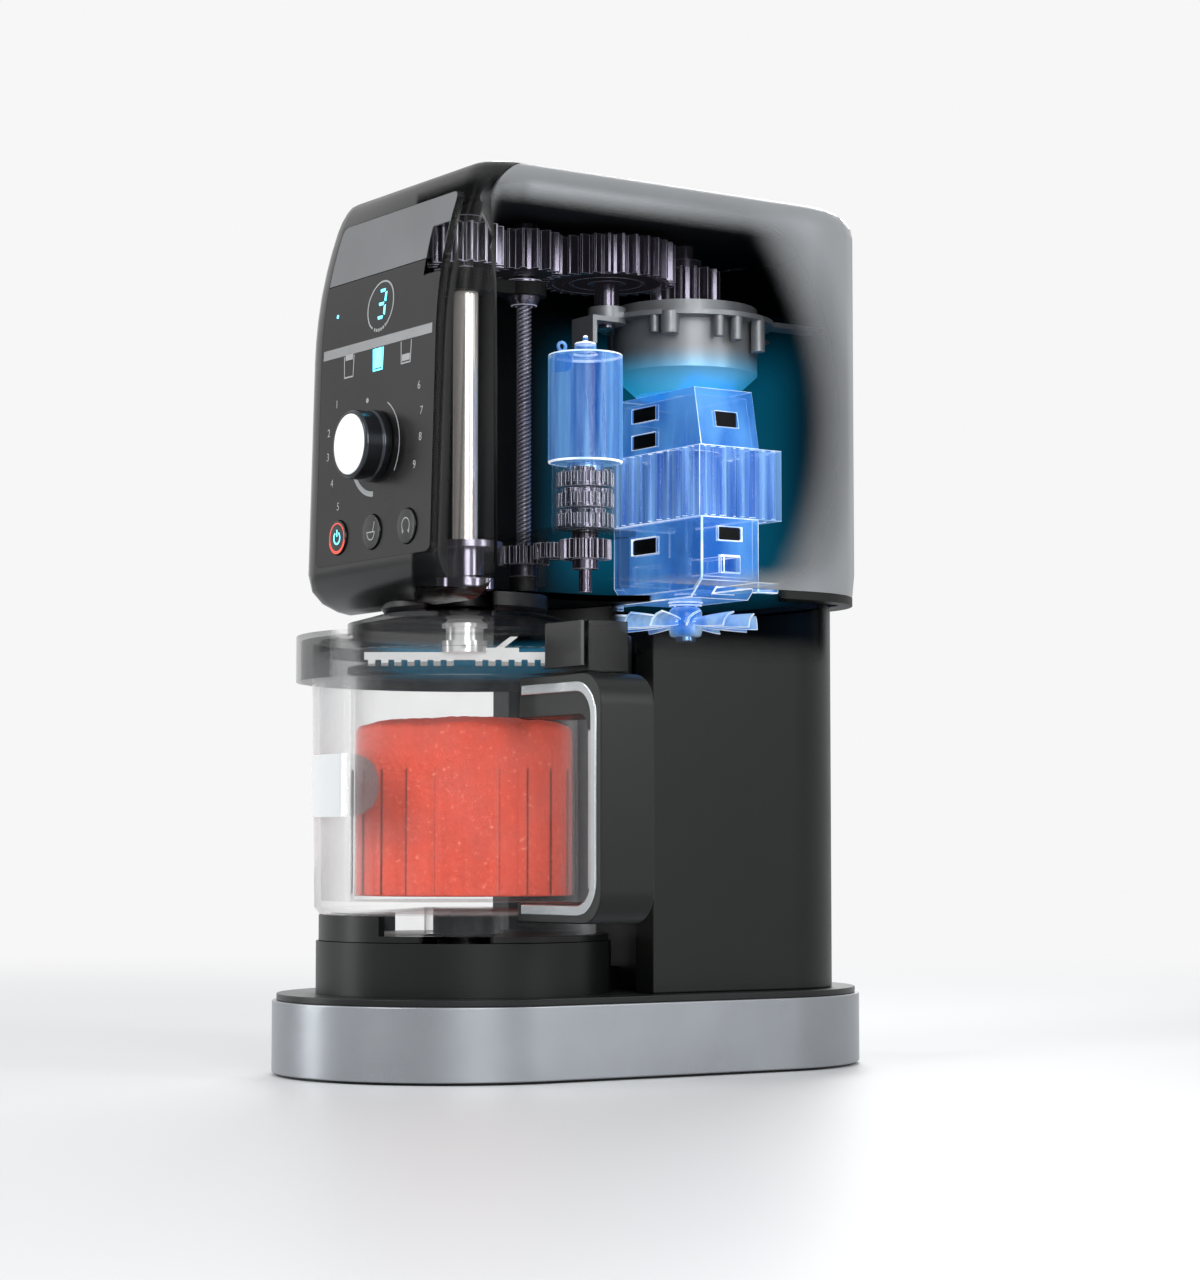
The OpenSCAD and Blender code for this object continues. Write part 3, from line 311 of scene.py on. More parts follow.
def mix_finishes():
    """Makes every finish that the pieces use."""
    look = bpy.context.scene.maker_look
    FINISH.update(
        band=metal("satin_band", look.band_colour, 0.3, 30, 0.12, 0.85),
        deck=moulded("deck_dark", "191b1b", 0.34),
        black=moulded("black_moulding", "0d0e0f", 0.45),
        floor=moulded("floor_black", "0a0b0b", 0.5, hole=dict(
            across=[(-0.073, -0.068), (0.100, 0.094)], toward=[(0.006, 0.009)],
            x=[(0.012, 0.016)])),
        pillar=moulded("pillar_black", "0e100f", 0.4, hole=dict(
            toward=[(-0.012, 0.000)], across=[(0.008, 0.016)], y=[(0.118, 0.108)],
            z=[(0.186, 0.202)])),
        stand=moulded("pedestal_black", "0e1010", 0.38),
        socket=moulded("socket_black", "0f1011", 0.34, hole=dict(
            across=[(-0.067, -0.064), (-0.033, -0.036)], toward=[(0.046, 0.050)])),
        rubber=moulded("pad_rubber", "0c0c0c", 0.8, 0.3),
        frame=moulded("frame_black", "0a0b0c", 0.24, 0.05, 0.08, 0.3, hole=dict(
            across=[(-0.0715, -0.0695)], toward=[(0.052, 0.054)], shown=[(0.1, 0.9)],
            z=[(0.2105, 0.2135), (0.401, 0.393)]), most=0.9),
        fascia=metal("fascia_silver", "6d6f72", 0.34, 20, 0.1, 0.6, hole=dict(
            x=[(0.0362, 0.0372)], z=[(0.3555, 0.3565), (0.3790, 0.3780)], shown=[(0.1, 0.9)])),
        board=moulded("board_green", "060b09", 0.5, hole=dict(x=[(0.034, 0.036)])),
        # The glow given to the metals below is painted light: an even emission that brightens them
        # in the dark head.
        gear=metal("gear_dark", "57545f", 0.17, 0.05, size=700.0, glow=0.06),
        # Lighter, glowing finish of the gears' rounded edges: a painted highlight along their
        # teeth.
        tooth=metal("tooth_edge_highlight", "c9c6d6", 0.25, 0.1, 0.1, 0.5, glow=0.22),
        # Light finish of the screw's thread and the reducer rings' edges: a painted highlight on
        # their ridges.
        ridge=metal("ridge_highlight", "8d8b98", metallic=0.7, glow=0.04),
        steel=metal("plain_steel", "8f9196", stretch=0.1),
        shaft=metal("shaft_chrome", "f3ece6", 0.16, 0.05, 0.06, 0.75, glow=0.12),
        # The screw's dark core paints the shade between the thread's ridges.
        screw=metal("screw_core_shade", "2b2a32", 0.3, metallic=0.7),
        cup=cup_finish("7b7e81"),
        guide=metal("guide_dark", "75727e", 0.16, 0.05, glow=0.12),
        blade=metal("blade_steel", "e6e8e8", 0.2, streak=0.08, metallic=0.6, glow=0.15),
        dial=metal("dial_dark", "3c3f43", 0.24, (1, 40, 1), 0.1, 0.9),
        # The cap's white paints the highlight on the button's reflective face.
        cap=moulded("cap_white", "f4f6f8", 0.25, 0.03, 0.3),
        key=moulded("key_black", "0f1011", 0.22, 0.04, 0.3),
        handle=moulded("handle_dark", "161918", 0.36),
        # The handle strip is a real part; its bright colour, like the rims', paints the highlight
        # on the handle's inner ring.
        strip=metal("strip_bright_highlight", "9b9ea0", 0.2, 0.1, 0.06),
        loop=metal("loop_bright", "b3b7b9", 0.16, 0.1, 0.05, 0.8),
        badge=clear("badge_clear", "d3d6d8", "f2f3f4", 0.9, 1.0, 2.0, gloss=0.6,
                    holes=((dict(across=[(-0.104, -0.097)]), 0.93),)),
        bowl=clear("bowl_clear", "a3a9ac", "eef2f3", 0.035, 0.85, 3.2, 0.05, 0.12),
        tub=clear("tub_clear", "c4c9ca", "f2f5f6", 0.01, 0.6, 3.4, 0.08, 0.15),
        lid=clear("lid_smoke", "060707", "3c4042", 0.66, 0.97, 2.2, 0.1, gloss=0.18,
                  holes=((dict(across=[(-0.108, -0.102), (0.004, -0.004)],
                               toward=[(0.055, 0.068)]), 0.93),
                         (dict(across=[(-0.098, -0.104)]), 0.5)),
                  # A painted cyan glow round the paddle, seen in the lid.
                  halo=dict(across=[(-0.102, -0.080), (0.000, -0.020)], toward=[(0.020, -0.010)],
                            z=[(0.181, 0.187), (0.201, 0.194)], reach=[(0.0765, 0.0755)])),
        ring=clear("ring_clear", "8fb6d8", "dfeefa", 0.03, 0.35, 3.0),
        # The blue parts glow with painted light and carry painted reflections and a painted sheen.
        motor=luminous("motor_blue", "0a48a8", "7ab8f2", 0.5, 0.95, 0.28, 0.06, 110.0),
        coil=luminous("coil_blue", "0d55be", "98cbfa", 0.4, 0.95, 0.3, 0.05, 150.0),
        bracket=luminous("bracket_blue", "1b68c6", "66aef0", 0.5, 0.95, 0.28, 0.4, 30.0),
        fan=luminous("fan_blue", "2f86dc", "b9dfff", 0.85, 0.98, 0.3),
        # White, glowing finish for the motor's rounded edges: a painted highlight along them.
        ice=luminous("edge_ice", "a8d6ff", "ffffff", 0.85, 1.0, 0.7),
        core=metal("core_blue", "7fa9dc", 0.22, 0.1, 0.1, 0.8, glow=0.1),
        cover=cover_finish(look.cover_colour),
        liner=moulded("liner_black", "060607", 0.7),
        halo=halo_finish(),
        shelf=moulded("shelf_black", "0a0b0b", 0.6, hole=dict(x=[(-0.03, -0.02)]), most=0.75),
        dessert=dessert_finish(look.dessert_colour),
        panel=moulded("panel_gloss", "131212", 0.3, 0.03, 0.08, 0.2, hole=dict(
            x=[(0.0362, 0.0372)], z=[(0.3555, 0.3565)], shown=[(0.1, 0.9)])),
        window=moulded("window_gloss", "0c0f10", 0.14, 0.02, 0.2),
        mark=moulded("mark_grey", "9b9d9f", 0.5, 0.02),
        stripe=metal("stripe_silver", "8a8c8e", 0.3),
    )
    for key, code, power in (("cyan", "57d3f2", 3.0), ("red", "d8402c", 1.2)):
        shop = Shop("lamp_" + key)
        FINISH[key] = shop.set(Base_Color=code, Emission_Color=code, Emission_Strength=power,
                               Roughness=shop.noise(shop.place(), 900.0) * 0.2 + 0.3)


def cover_finish(colour):
    """Satin silver that fades to see-through on the right side, where the drive shows."""
    shop = Shop("cover_silver")
    here = shop.place()
    x, y, z = shop.axes(here)
    lines = shop.noise(here, 1600.0, 2.0)
    rise = z - 0.30
    back = (y + rise * rise * 4.5).ramp(0.128, 0.078)
    hole = x.ramp(0.056, 0.070) * z.ramp(0.4035, 0.384) * back * (z - y * 0.12).ramp(0.206, 0.226)
    tone = shop.blend(shop.noise(here, 22.0), shade(colour, 0.9), shade(colour, 1.1))
    return shop.set(Base_Color=tone, Metallic=0.45, Alpha=(1 - hole).limited(),
                    Roughness=(0.36 + (lines - 0.5) * 0.1).limited(),
                    Normal=shop.bump(lines, 0.05, 0.0001))


def cup_finish(colour):
    """Cast grey whose foot has a painted cyan glow and tint, standing in for the motor's light
    below.
    """
    shop = Shop("cup_casting")
    here = shop.place()
    z = shop.axes(here)[2]
    fine = shop.noise(here, 700.0, 3.0)
    lit = z.ramp(0.341, 0.319)
    tone = shop.blend(lit, colour, "6fb9e6")
    return shop.set(Base_Color=tone, Roughness=(0.4 + (fine - 0.5) * 0.2).limited(), Metallic=0.4,
                    Normal=shop.bump(fine, 0.15, 0.0002),
                    Emission_Color=shop.blend(lit, (0, 0, 0), "1f9fd0"), Emission_Strength=0.6)


def halo_finish():
    """Matt black with a painted cyan glow behind the motor."""
    shop = Shop("liner_lit")
    here = shop.place()
    glow = opening(shop, across=[(-0.024, 0.006), (0.122, 0.092)],
                   z=[(0.212, 0.250), (0.368, 0.326)])
    near = opening(shop, toward=[(0.0515, 0.0535)])
    return shop.set(Base_Color=shop.blend(shop.noise(here, 40.0), "050506", "08090a"),
                    Roughness=(0.6 + shop.noise(here, 900.0) * 0.2).limited(),
                    Specular_IOR_Level=0.1, Alpha=(1 - near).limited(),
                    Emission_Color=shop.blend(glow, (0, 0, 0), CYAN), Emission_Strength=0.3)


def dessert_finish(colour):
    """Frozen fruit: coarse crystals in colour, gloss and surface, with a faint painted glow that
    brightens it in the bowl.
    """
    shop = Shop("dessert_red")
    here = shop.place()
    crystal = shop.node("ShaderNodeTexVoronoi", Vector=here, Scale=320.0)
    grain = shop.noise(here, 420.0, 5.0, 0.65)
    cloud = shop.noise(here, 45.0, 4.0, 0.6)
    mix = (cloud * 0.7 + grain * 0.5 - 0.15).limited()
    light = tuple(min(1.0, c * 1.2 + 0.02) for c in colour)
    tone = shop.blend(mix, shade(colour, 0.66), light)
    frost = (grain - 0.6) * 6.0
    tone = shop.blend(frost.limited() * 0.6, tone, "ffb592")
    # The emission is a painted glow.
    return shop.set(Base_Color=tone, Roughness=(0.42 + grain * 0.3).limited(),
                    Normal=shop.bump(crystal * 0.4 + grain, 0.55, 0.0012),
                    Emission_Color=tone, Emission_Strength=0.16)


# ---- Shapes


def add(name, data):
    """Puts an object into the scene."""
    made = bpy.data.objects.new(name, data)
    bpy.context.scene.collection.objects.link(made)
    return made


def mesh_of(work, name):
    """Turns a bmesh into a mesh."""
    data = bpy.data.meshes.new(name)
    work.to_mesh(data)
    work.free()
    return data


def new_piece(name, work, body, look, *nodes, **shape):
    """Closes a bmesh into a finished piece that rides on a body and stands for nodes."""
    bmesh.ops.remove_doubles(work, verts=work.verts, dist=1e-6)
    bmesh.ops.recalc_face_normals(work, faces=work.faces)
    settle(name, work, body, look, nodes, **shape)


def settle(name, work, body, look, nodes, bevel=0.0, segments=2, smooth=35.0, edge=None):
    """Gives a piece its finishes, shading, rounded edges, body and nodes."""
    data = mesh_of(work, name)
    piece = add(name, data)
    # An edge finish goes on the faces that the bevel rounds; the pieces give it lighter finishes
    # that paint highlights along their edges.
    for item in (look, edge) if edge else (look,):
        data.materials.append(FINISH[item])
    data.shade_smooth()
    sharpen(data, smooth)
    if bevel:
        fit(piece.modifiers.new("Bevel", "BEVEL"), width=bevel, segments=segments,
            limit_method="ANGLE", angle_limit=radians(40), harden_normals=True,
            material=1 if edge else -1)
    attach(piece, body)
    if nodes:
        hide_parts(*nodes)
    return piece


def sharpen(data, angle):
    """Marks the edges that turn by more than the angle as sharp."""
    work = bmesh.new()
    work.from_mesh(data)
    limit = radians(angle)
    for edge in work.edges:
        edge.smooth = len(edge.link_faces) == 2 and edge.calc_face_angle(4.0) < limit
    work.to_mesh(data)
    work.free()


def dress(node, look, bevel=0.0003, segments=2, **shape):
    """Gives a CAD node clean faces, rounded edges and a finish, as a piece of its own."""
    solid = frame["nodes"][node]
    work = bmesh.new()
    work.from_mesh(solid.data)
    work.transform(solid.matrix_world)
    bmesh.ops.remove_doubles(work, verts=work.verts, dist=2e-6)
    bmesh.ops.dissolve_limit(work, angle_limit=radians(0.6), use_dissolve_boundaries=False,
                             verts=work.verts, edges=work.edges)
    for layer in list(work.loops.layers.uv):
        work.loops.layers.uv.remove(layer)
    return settle(node + "_dressed", work, solid["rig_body"], look, (node,), bevel, segments,
                  **shape)


def coat(node, look):
    """Gives a CAD node that stays as it is its finish."""
    data = frame["nodes"][node].data
    data.materials.clear()
    data.materials.append(FINISH[look])


def shift(work, x=0.0, y=0.0, z=0.0, verts=None):
    """Moves a bmesh, or some of its vertices, by metres."""
    bmesh.ops.translate(work, vec=(x, y, z), verts=work.verts if verts is None else verts)


def swing(work, angle, axis, verts=None):
    """Turns a bmesh, or some of its vertices, round an axis through the origin."""
    bmesh.ops.rotate(work, cent=(0, 0, 0), matrix=Matrix.Rotation(angle, 3, axis),
                     verts=work.verts if verts is None else verts)


def grow(work, faces, keep=False):
    """Extrudes faces and gives back the new vertices, which lie where the old ones do."""
    made = bmesh.ops.extrude_face_region(work, geom=faces, use_keep_orig=keep)["geom"]
    return [part for part in made if isinstance(part, bmesh.types.BMVert)]


def polar(radius, degrees, x=0.0, y=0.0):
    """The point of a circle at an angle."""
    angle = radians(degrees)
    return x + radius * cos(angle), y + radius * sin(angle)


def sheet(work, points):
    """Adds a face through points in millimetres."""
    return work.faces.new([work.verts.new([part * MM for part in point]) for point in points])


def turned(profile, steps=96, centre=(0, 0)):
    """Spins a closed profile of (radius, height) in millimetres round a vertical axis."""
    work = bmesh.new()
    verts = [work.verts.new((r * MM, 0, z * MM)) for r, z in profile]
    edges = [work.edges.new(pair) for pair in zip(verts, verts[1:] + verts[:1])]
    bmesh.ops.spin(work, geom=verts + edges, cent=(0, 0, 0), axis=(0, 0, 1), angle=tau,
                   steps=steps, use_merge=True)
    bmesh.ops.remove_doubles(work, verts=work.verts, dist=1e-6)
    shift(work, *centre)
    return work


def soft_profile(points, radius, steps=3):
    """Rounds each corner of a closed profile whose third number, if given, is its own radius."""
    out = []
    for i, point in enumerate(points):
        here = Vector(point[:2])
        before = Vector(points[i - 1][:2]) - here
        after = Vector(points[(i + 1) % len(points)][:2]) - here
        own = point[2] if len(point) > 2 else radius
        reach = min(own, before.length * 0.45, after.length * 0.45)
        if reach < 0.02:
            out.append(tuple(here))
            continue
        start, end = here + before.normalized() * reach, here + after.normalized() * reach
        for k in range(steps + 1):
            t = k / steps
            out.append(tuple(start * (1 - t) ** 2 + here * 2 * t * (1 - t) + end * t ** 2))
    return out


def prism(work, outline, low, high):
    """Extrudes a flat outline of (x, y) in millimetres from one height to another."""
    face = sheet(work, [(x, y, low) for x, y in outline])
    shift(work, z=(high - low) * MM, verts=grow(work, [face]))


def pin(work, x, y, radius, low, high, steps=24):
    """Adds an upright pin, in millimetres."""
    made = bmesh.ops.create_cone(work, cap_ends=True, segments=steps, radius1=radius * MM,
                                 radius2=radius * MM, depth=(high - low) * MM)["verts"]
    shift(work, x * MM, y * MM, (low + high) / 2 * MM, made)


def block(work, x, y, z):
    """Adds a box between three pairs of millimetres."""
    made = bmesh.ops.create_cube(work, size=1.0)["verts"]
    for vert in made:
        vert.co = [(low + high) / 2 * MM + part * (high - low) * MM
                   for part, (low, high) in zip(vert.co, (x, y, z))]


def pad(work, centre, reach, turn, half, low, high, thick=0.5):
    """Adds a rounded pad that lies on a cylinder, in millimetres and degrees."""
    inner = bmesh.ops.create_grid(work, x_segments=28, y_segments=16, size=0.5)["verts"]
    outer = grow(work, work.faces[:], keep=True)
    for verts, radius in ((inner, reach), (outer, reach + thick)):
        for vert in verts:
            u, v = vert.co.x * 2, vert.co.y * 2
            corner = max(0.0, abs(u) - 0.5) / 0.5
            v *= 1 - 0.75 * (1 - sqrt(max(0.0, 1 - min(1.0, corner) ** 2)))
            x, y = polar(radius, turn + u * half, *centre)
            vert.co = x * MM, y * MM, ((low + high) / 2 + v * (high - low) / 2) * MM


def face_y(z):
    """Y in millimetres of the head's front face at the height z."""
    return FRONT_Y + FRONT_LEAN * (z - FRONT_FOOT) + FRONT_BEND * max(z - BEND_FROM, 0) ** 2


def front_at(z):
    """Y of the panel's flat facets, which lie between the heights of the front's bends."""
    for low, high in zip(FACETS, FACETS[1:]):
        if z <= high:
            t = (z - low) / (high - low)
            return face_y(low) * (1 - t) + face_y(high) * t
    return face_y(z)


def circle(x, z, radius):
    """The points of a circle on the front."""
    return [polar(radius, turn, x, z) for turn in range(0, 360, 18)]


def box(left, low, right, high):
    """The corners of a bar on the front."""
    return [(left, low), (right, low), (right, high), (left, high)]


def arc_band(x, z, inner, outer, start, end, step=6):
    """Short quads that follow an arc on the front."""
    count = max(1, round((end - start) / step))
    out = []
    for k in range(count):
        a, b = (start + (end - start) * (k + d) / count for d in (0, 1))
        out.append([polar(radius, turn, x, z)
                    for radius, turn in ((inner, a), (outer, a), (outer, b), (inner, b))])
    return out


def upright(work, y, z, x=PANEL_X):
    """Turns a piece made round the Z axis to face the front, at a point of the panel."""
    swing(work, radians(90), "X")
    shift(work, x * MM, y * MM, z * MM)


# ---- Sizes and colours


SWATCH = dict(subtype="COLOR", min=0, max=1)


class MakerLook(bpy.types.PropertyGroup):
    """Colours of the machine."""
    cover_colour: bpy.props.FloatVectorProperty(
        name="Cover", description="Satin silver of the side cover", default=rgb("8d9093"), **SWATCH)
    band_colour: bpy.props.FloatVectorProperty(
        name="Band", description="Silver of the base's band", default=rgb("8f9398"), **SWATCH)
    dessert_colour: bpy.props.FloatVectorProperty(
        name="Dessert", description="Colour of the frozen fruit", default=rgb("e64522"), **SWATCH)
    floor_colour: bpy.props.FloatVectorProperty(
        name="Floor", description="Colour of the floor", default=rgb("d9dbdd"), **SWATCH)


class MakerSize(bpy.types.PropertyGroup):
    """Sizes that the finished pieces add to the frame."""
    deck_edge: bpy.props.FloatProperty(
        name="Deck edge", description="Rounding of the base's top edge", default=0.0016, min=0.0002,
        max=0.0025, unit="LENGTH", precision=4)
    gear_edge: bpy.props.FloatProperty(
        name="Gear edge", description="Rounding of the gears' edges", default=0.00035, min=0.0001,
        max=0.0006, unit="LENGTH", precision=5)
    thread_lead: bpy.props.FloatProperty(
        name="Thread pitch", description="Distance between the screw's ridges", default=0.002,
        min=0.0015, max=0.008, unit="LENGTH", precision=4)
    fan_twist: bpy.props.FloatProperty(
        name="Fan twist", description="Slant of the fan's blades", default=radians(46),
        min=0.3, max=1.2, subtype="ANGLE", unit="ROTATION")


# ---- Pieces


class Piece:
    """Shared by the operators: a step of the making that reports as finished."""
    bl_options = {"REGISTER"}

    def execute(self, context):
        self.make(context.scene.maker_size)
        return {"FINISHED"}


class MAKER_OT_stage(Piece, bpy.types.Operator):
    """Sets the floor, the backdrop, the lamps and the camera"""
    bl_idname = "maker.stage"
    bl_label = "Stage"

    def make(self, size):
        scene = bpy.context.scene
        scene.view_settings.view_transform = "Standard"
        camera = add("Camera", fit(bpy.data.cameras.new("Camera"), lens=86.19, clip_start=0.05,
                                   clip_end=30))
        camera.location = (1.19716, -0.79664, 0.09944)
        camera.rotation_euler = (radians(93.98), 0, radians(55.86))
        scene.camera = camera
        self.floor(scene)
        self.sky(scene)
        self.lamps()

    def floor(self, scene):
        """A plain floor that fades into the backdrop."""
        work = bmesh.new()
        bmesh.ops.create_grid(work, x_segments=1, y_segments=1, size=12.0)
        floor = add("Floor", mesh_of(work, "Floor"))
        shop = Shop("floor_plain")
        colour = scene.maker_look.floor_colour
        here = shop.place()
        tone = shop.blend(shop.noise(here, 3.0), shade(colour, 0.98), colour)
        floor.data.materials.append(shop.set(Base_Color=tone, Roughness=0.45))
        x, y, _ = shop.axes(here)
        far = ((x * x + y * y) ** 0.5).ramp(0.45, 1.7)
        seen = shop.node("ShaderNodeLightPath", pick="Is Camera Ray")
        plain = shop.node("ShaderNodeEmission", None, (1, 1, 1), BACKDROP)
        matt = Wire(shop, shop.shader.outputs[0])
        mixed = shop.node("ShaderNodeMixShader", None, far * seen, matt, plain)
        shop.put(shop.tree.nodes["Material Output"].inputs[0], mixed)

    def sky(self, scene):
        """A pale backdrop that lights the object less than it shows."""
        shop = Shop("World", "worlds")
        scene.world = shop.owner
        rays = {way.socket.name: way for way in shop.outputs(shop.node("ShaderNodeLightPath"))}
        seen = rays["Is Camera Ray"].most(rays["Is Transmission Ray"]).most(rays["Is Glossy Ray"])
        level = shop.node("ShaderNodeMapRange", None, seen, 0.0, 1.0, 0.42, BACKDROP)
        background = shop.tree.nodes["Background"]
        shop.put(background.inputs["Strength"], level)
        shop.put(background.inputs["Color"], (1, 1, 1))

    def lamps(self):
        for name, place, aim, power, wide, tall in (
                ("Key", (0.35, -1.9, 1.5), (0, 0, 0.22), 20, 0.7, 1.2),
                ("Side", (1.9, 0.9, 0.9), (0, 0, 0.22), 14, 0.5, 1.3),
                ("Near", (1.7, -0.55, 0.75), (0, 0.02, 0.3), 16, 0.9, 0.9),
                ("Back", (-1.3, 1.2, 1.2), (0, 0, 0.25), 14, 0.8, 0.8),
                ("Left", (-1.0, -1.3, 0.5), (0, -0.05, 0.2), 9, 0.25, 1.2)):
            lamp = add(name, fit(bpy.data.lights.new(name, "AREA"), shape="RECTANGLE", size=wide,
                                 size_y=tall, energy=power))
            lamp.location = place
            lamp.rotation_euler = (Vector(aim) - Vector(place)).to_track_quat("-Z", "Y").to_euler()


class MAKER_OT_base(Piece, bpy.types.Operator):
    """Makes the base: silver band, dark deck, closing plate and pads"""
    bl_idname = "maker.base"
    bl_label = "Base"

    def make(self, size):
        dress("base_band", "band", 0.0006, 3)
        dress("base_deck", "deck", size.deck_edge, 4)
        coat("base_underplate", "black")
        coat("base_pads", "rubber")


class MAKER_OT_pedestal(Piece, bpy.types.Operator):
    """Makes the pedestal, the lifting platform and the release button"""
    bl_idname = "maker.pedestal"
    bl_label = "Pedestal"

    def make(self, size):
        dress("pedestal", "stand", 0.0006, 3)
        dress("platform", "socket", 0.0006, 3)
        dress("release_button", "rubber", 0.0005, 3)


class MAKER_OT_pillar(Piece, bpy.types.Operator):
    """Makes the pillar with its vent panel and cord gland"""
    bl_idname = "maker.pillar"
    bl_label = "Pillar"

    def make(self, size):
        dress("pillar_shell", "pillar", 0.0008, 3)
        dress("rear_vent_panel", "black")
        dress("cord_gland", "rubber", 0.0005, 3)


class MAKER_OT_head(Piece, bpy.types.Operator):
    """Makes the head: cover, front frame, floor, socket and liner"""
    bl_idname = "maker.head"
    bl_label = "Head"

    def make(self, size):
        dress("head_cover", "cover", 0.0005, 3, smooth=50)
        dress("front_frame", "frame", 0.0006, 3, smooth=50)
        dress("head_floor", "floor")
        dress("lid_socket", "socket", 0.0006, 3)
        dress("inner_liner", "halo")


class MAKER_OT_panel(Piece, bpy.types.Operator):
    """Makes the control panel with its window, symbols, numbers and stripe"""
    bl_idname = "maker.panel"
    bl_label = "Control panel"

    def make(self, size):
        dress("fascia_plate", "fascia", 0.0003, 3)
        dress("control_panel", "panel", 0.0002)
        dress("display_window", "window", 0.0002)
        dress("control_board", "board", 0.0002)
        self.window()
        self.symbols()
        self.numbers()

    def flat(self, name, outlines, look, lift=0.02):
        """Thin marks of filled outlines (x, z) in millimetres that lie on the curved front."""
        work = bmesh.new()
        for outline in outlines:
            sheet(work, [(x, 0, z) for x, z in outline])
        for z in range(232, 404, 4):
            bmesh.ops.bisect_plane(work, geom=work.verts[:] + work.edges[:] + work.faces[:],
                                   plane_co=(0, 0, z * MM), plane_no=(0, 0, 1))
        for vert in work.verts:
            vert.co.y = (front_at(vert.co.z / MM) - lift) * MM
        for face in work.faces:
            face.normal_update()
            if face.normal.y > 0:
                face.normal_flip()
        piece = add(name, mesh_of(work, name))
        piece.data.materials.append(FINISH[look])
        fit(piece.modifiers.new("Solidify", "SOLIDIFY"), thickness=0.00008, offset=1)
        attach(piece, "frame")

    def window(self):
        """A figure of five lit bars inside a ring."""
        middle, figure = 347.5, (1.6, 348.2)
        bar = [(-2.6, 0.7), (2.6, 0.7), (2.0, -0.7), (-2.0, -0.7)]
        lying = [(x * 0.88, z) for x, z in bar]
        standing = [(z, x * 0.88 * 1.05) for x, z in bar]
        bars = ((0, 6.3, lying), (3.2, 3.1, standing), (0, 0, lying), (3.2, -3.1, standing),
                (0, -6.3, lying))
        digit = [[(figure[0] + dx + x, figure[1] + dz + z) for x, z in shape]
                 for dx, dz, shape in bars]
        self.flat("digit", digit, "cyan", 0.05)
        self.flat("window_ring", arc_band(PANEL_X, middle, 11.0, 11.8, -60, 240), "mark", 0.04)
        dashes = [dash for start in range(248, 300, 10)
                  for dash in arc_band(PANEL_X, middle, 10.6, 12.0, start, start + 6)]
        self.flat("window_dashes", dashes, "mark", 0.04)

    def symbols(self):
        """Cups filled at the top, all through and at the bottom; stripe, dots and arcs."""
        z, dial = 322.5, DIAL_Z - 0.3
        for name, x, look, low, high in (("cup_top", -25.2, "mark", 3.4, 6.0),
                                         ("cup_full", 1.4, "cyan", -3.6, 5.4),
                                         ("cup_bottom", 26.3, "mark", -3.6, -0.6)):
            wall = ((4.8, 5.4), (4.2, 5.4), (3.7, -4.6), (4.3, -4.6))
            fill = ((-3.4, low), (-3.5, high), (3.5, high), (3.4, low))
            shapes = [[(x + side * a, z + b) for a, b in wall] for side in (-1, 1)]
            shapes += [box(x - 4.2, z - 4.9, x + 4.2, z - 4.2), [(x + a, z + b) for a, b in fill]]
            self.flat(name, shapes, look)
        self.flat("dial_arcs", arc_band(PANEL_X, dial, 21.4, 22.0, -35, 62)
                  + arc_band(PANEL_X, dial, 20.2, 22.6, 212, 268), "mark")
        self.flat("dial_start", [circle(-7.2, 304.9, 1.2)], "mark")
        self.flat("ready_dot", [circle(-38.7, 348.1, 0.9)], "cyan")
        self.flat("stripe", [box(-49.5, 328.4, 48.5, 332.9)], "stripe")
        self.flat("power_ring", arc_band(KEYS["power_key"], KEY_Z, 7.0, 7.5, 0, 359), "red", 0.97)

    def numbers(self):
        """The numbers round the dial."""
        slant = atan(FRONT_LEAN)
        places = ((-35.6, 306.3), (-42.4, 293.6), (-42.6, 282.4), (-38.1, 269.7), (-31.7, 258.4),
                  (38.5, 306.2), (41.2, 294.6), (40.8, 282.9), (36.3, 270.9))
        for number, (x, z) in enumerate(places, 1):
            name = f"number_{number}"
            label = fit(bpy.data.curves.new(name, "FONT"), body=str(number), size=5.2 * MM,
                        extrude=0.00004, align_x="CENTER", align_y="CENTER")
            holder = add(name, label)
            data = bpy.data.meshes.new_from_object(holder)
            bpy.data.objects.remove(holder)
            data.transform(Matrix.Translation((x * MM, (face_y(z) - 0.05) * MM, z * MM))
                           @ Matrix.Rotation(radians(90) - slant, 4, "X"))
            data.materials.clear()
            data.materials.append(FINISH["mark"])
            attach(add(name + "_mark", data), "frame")


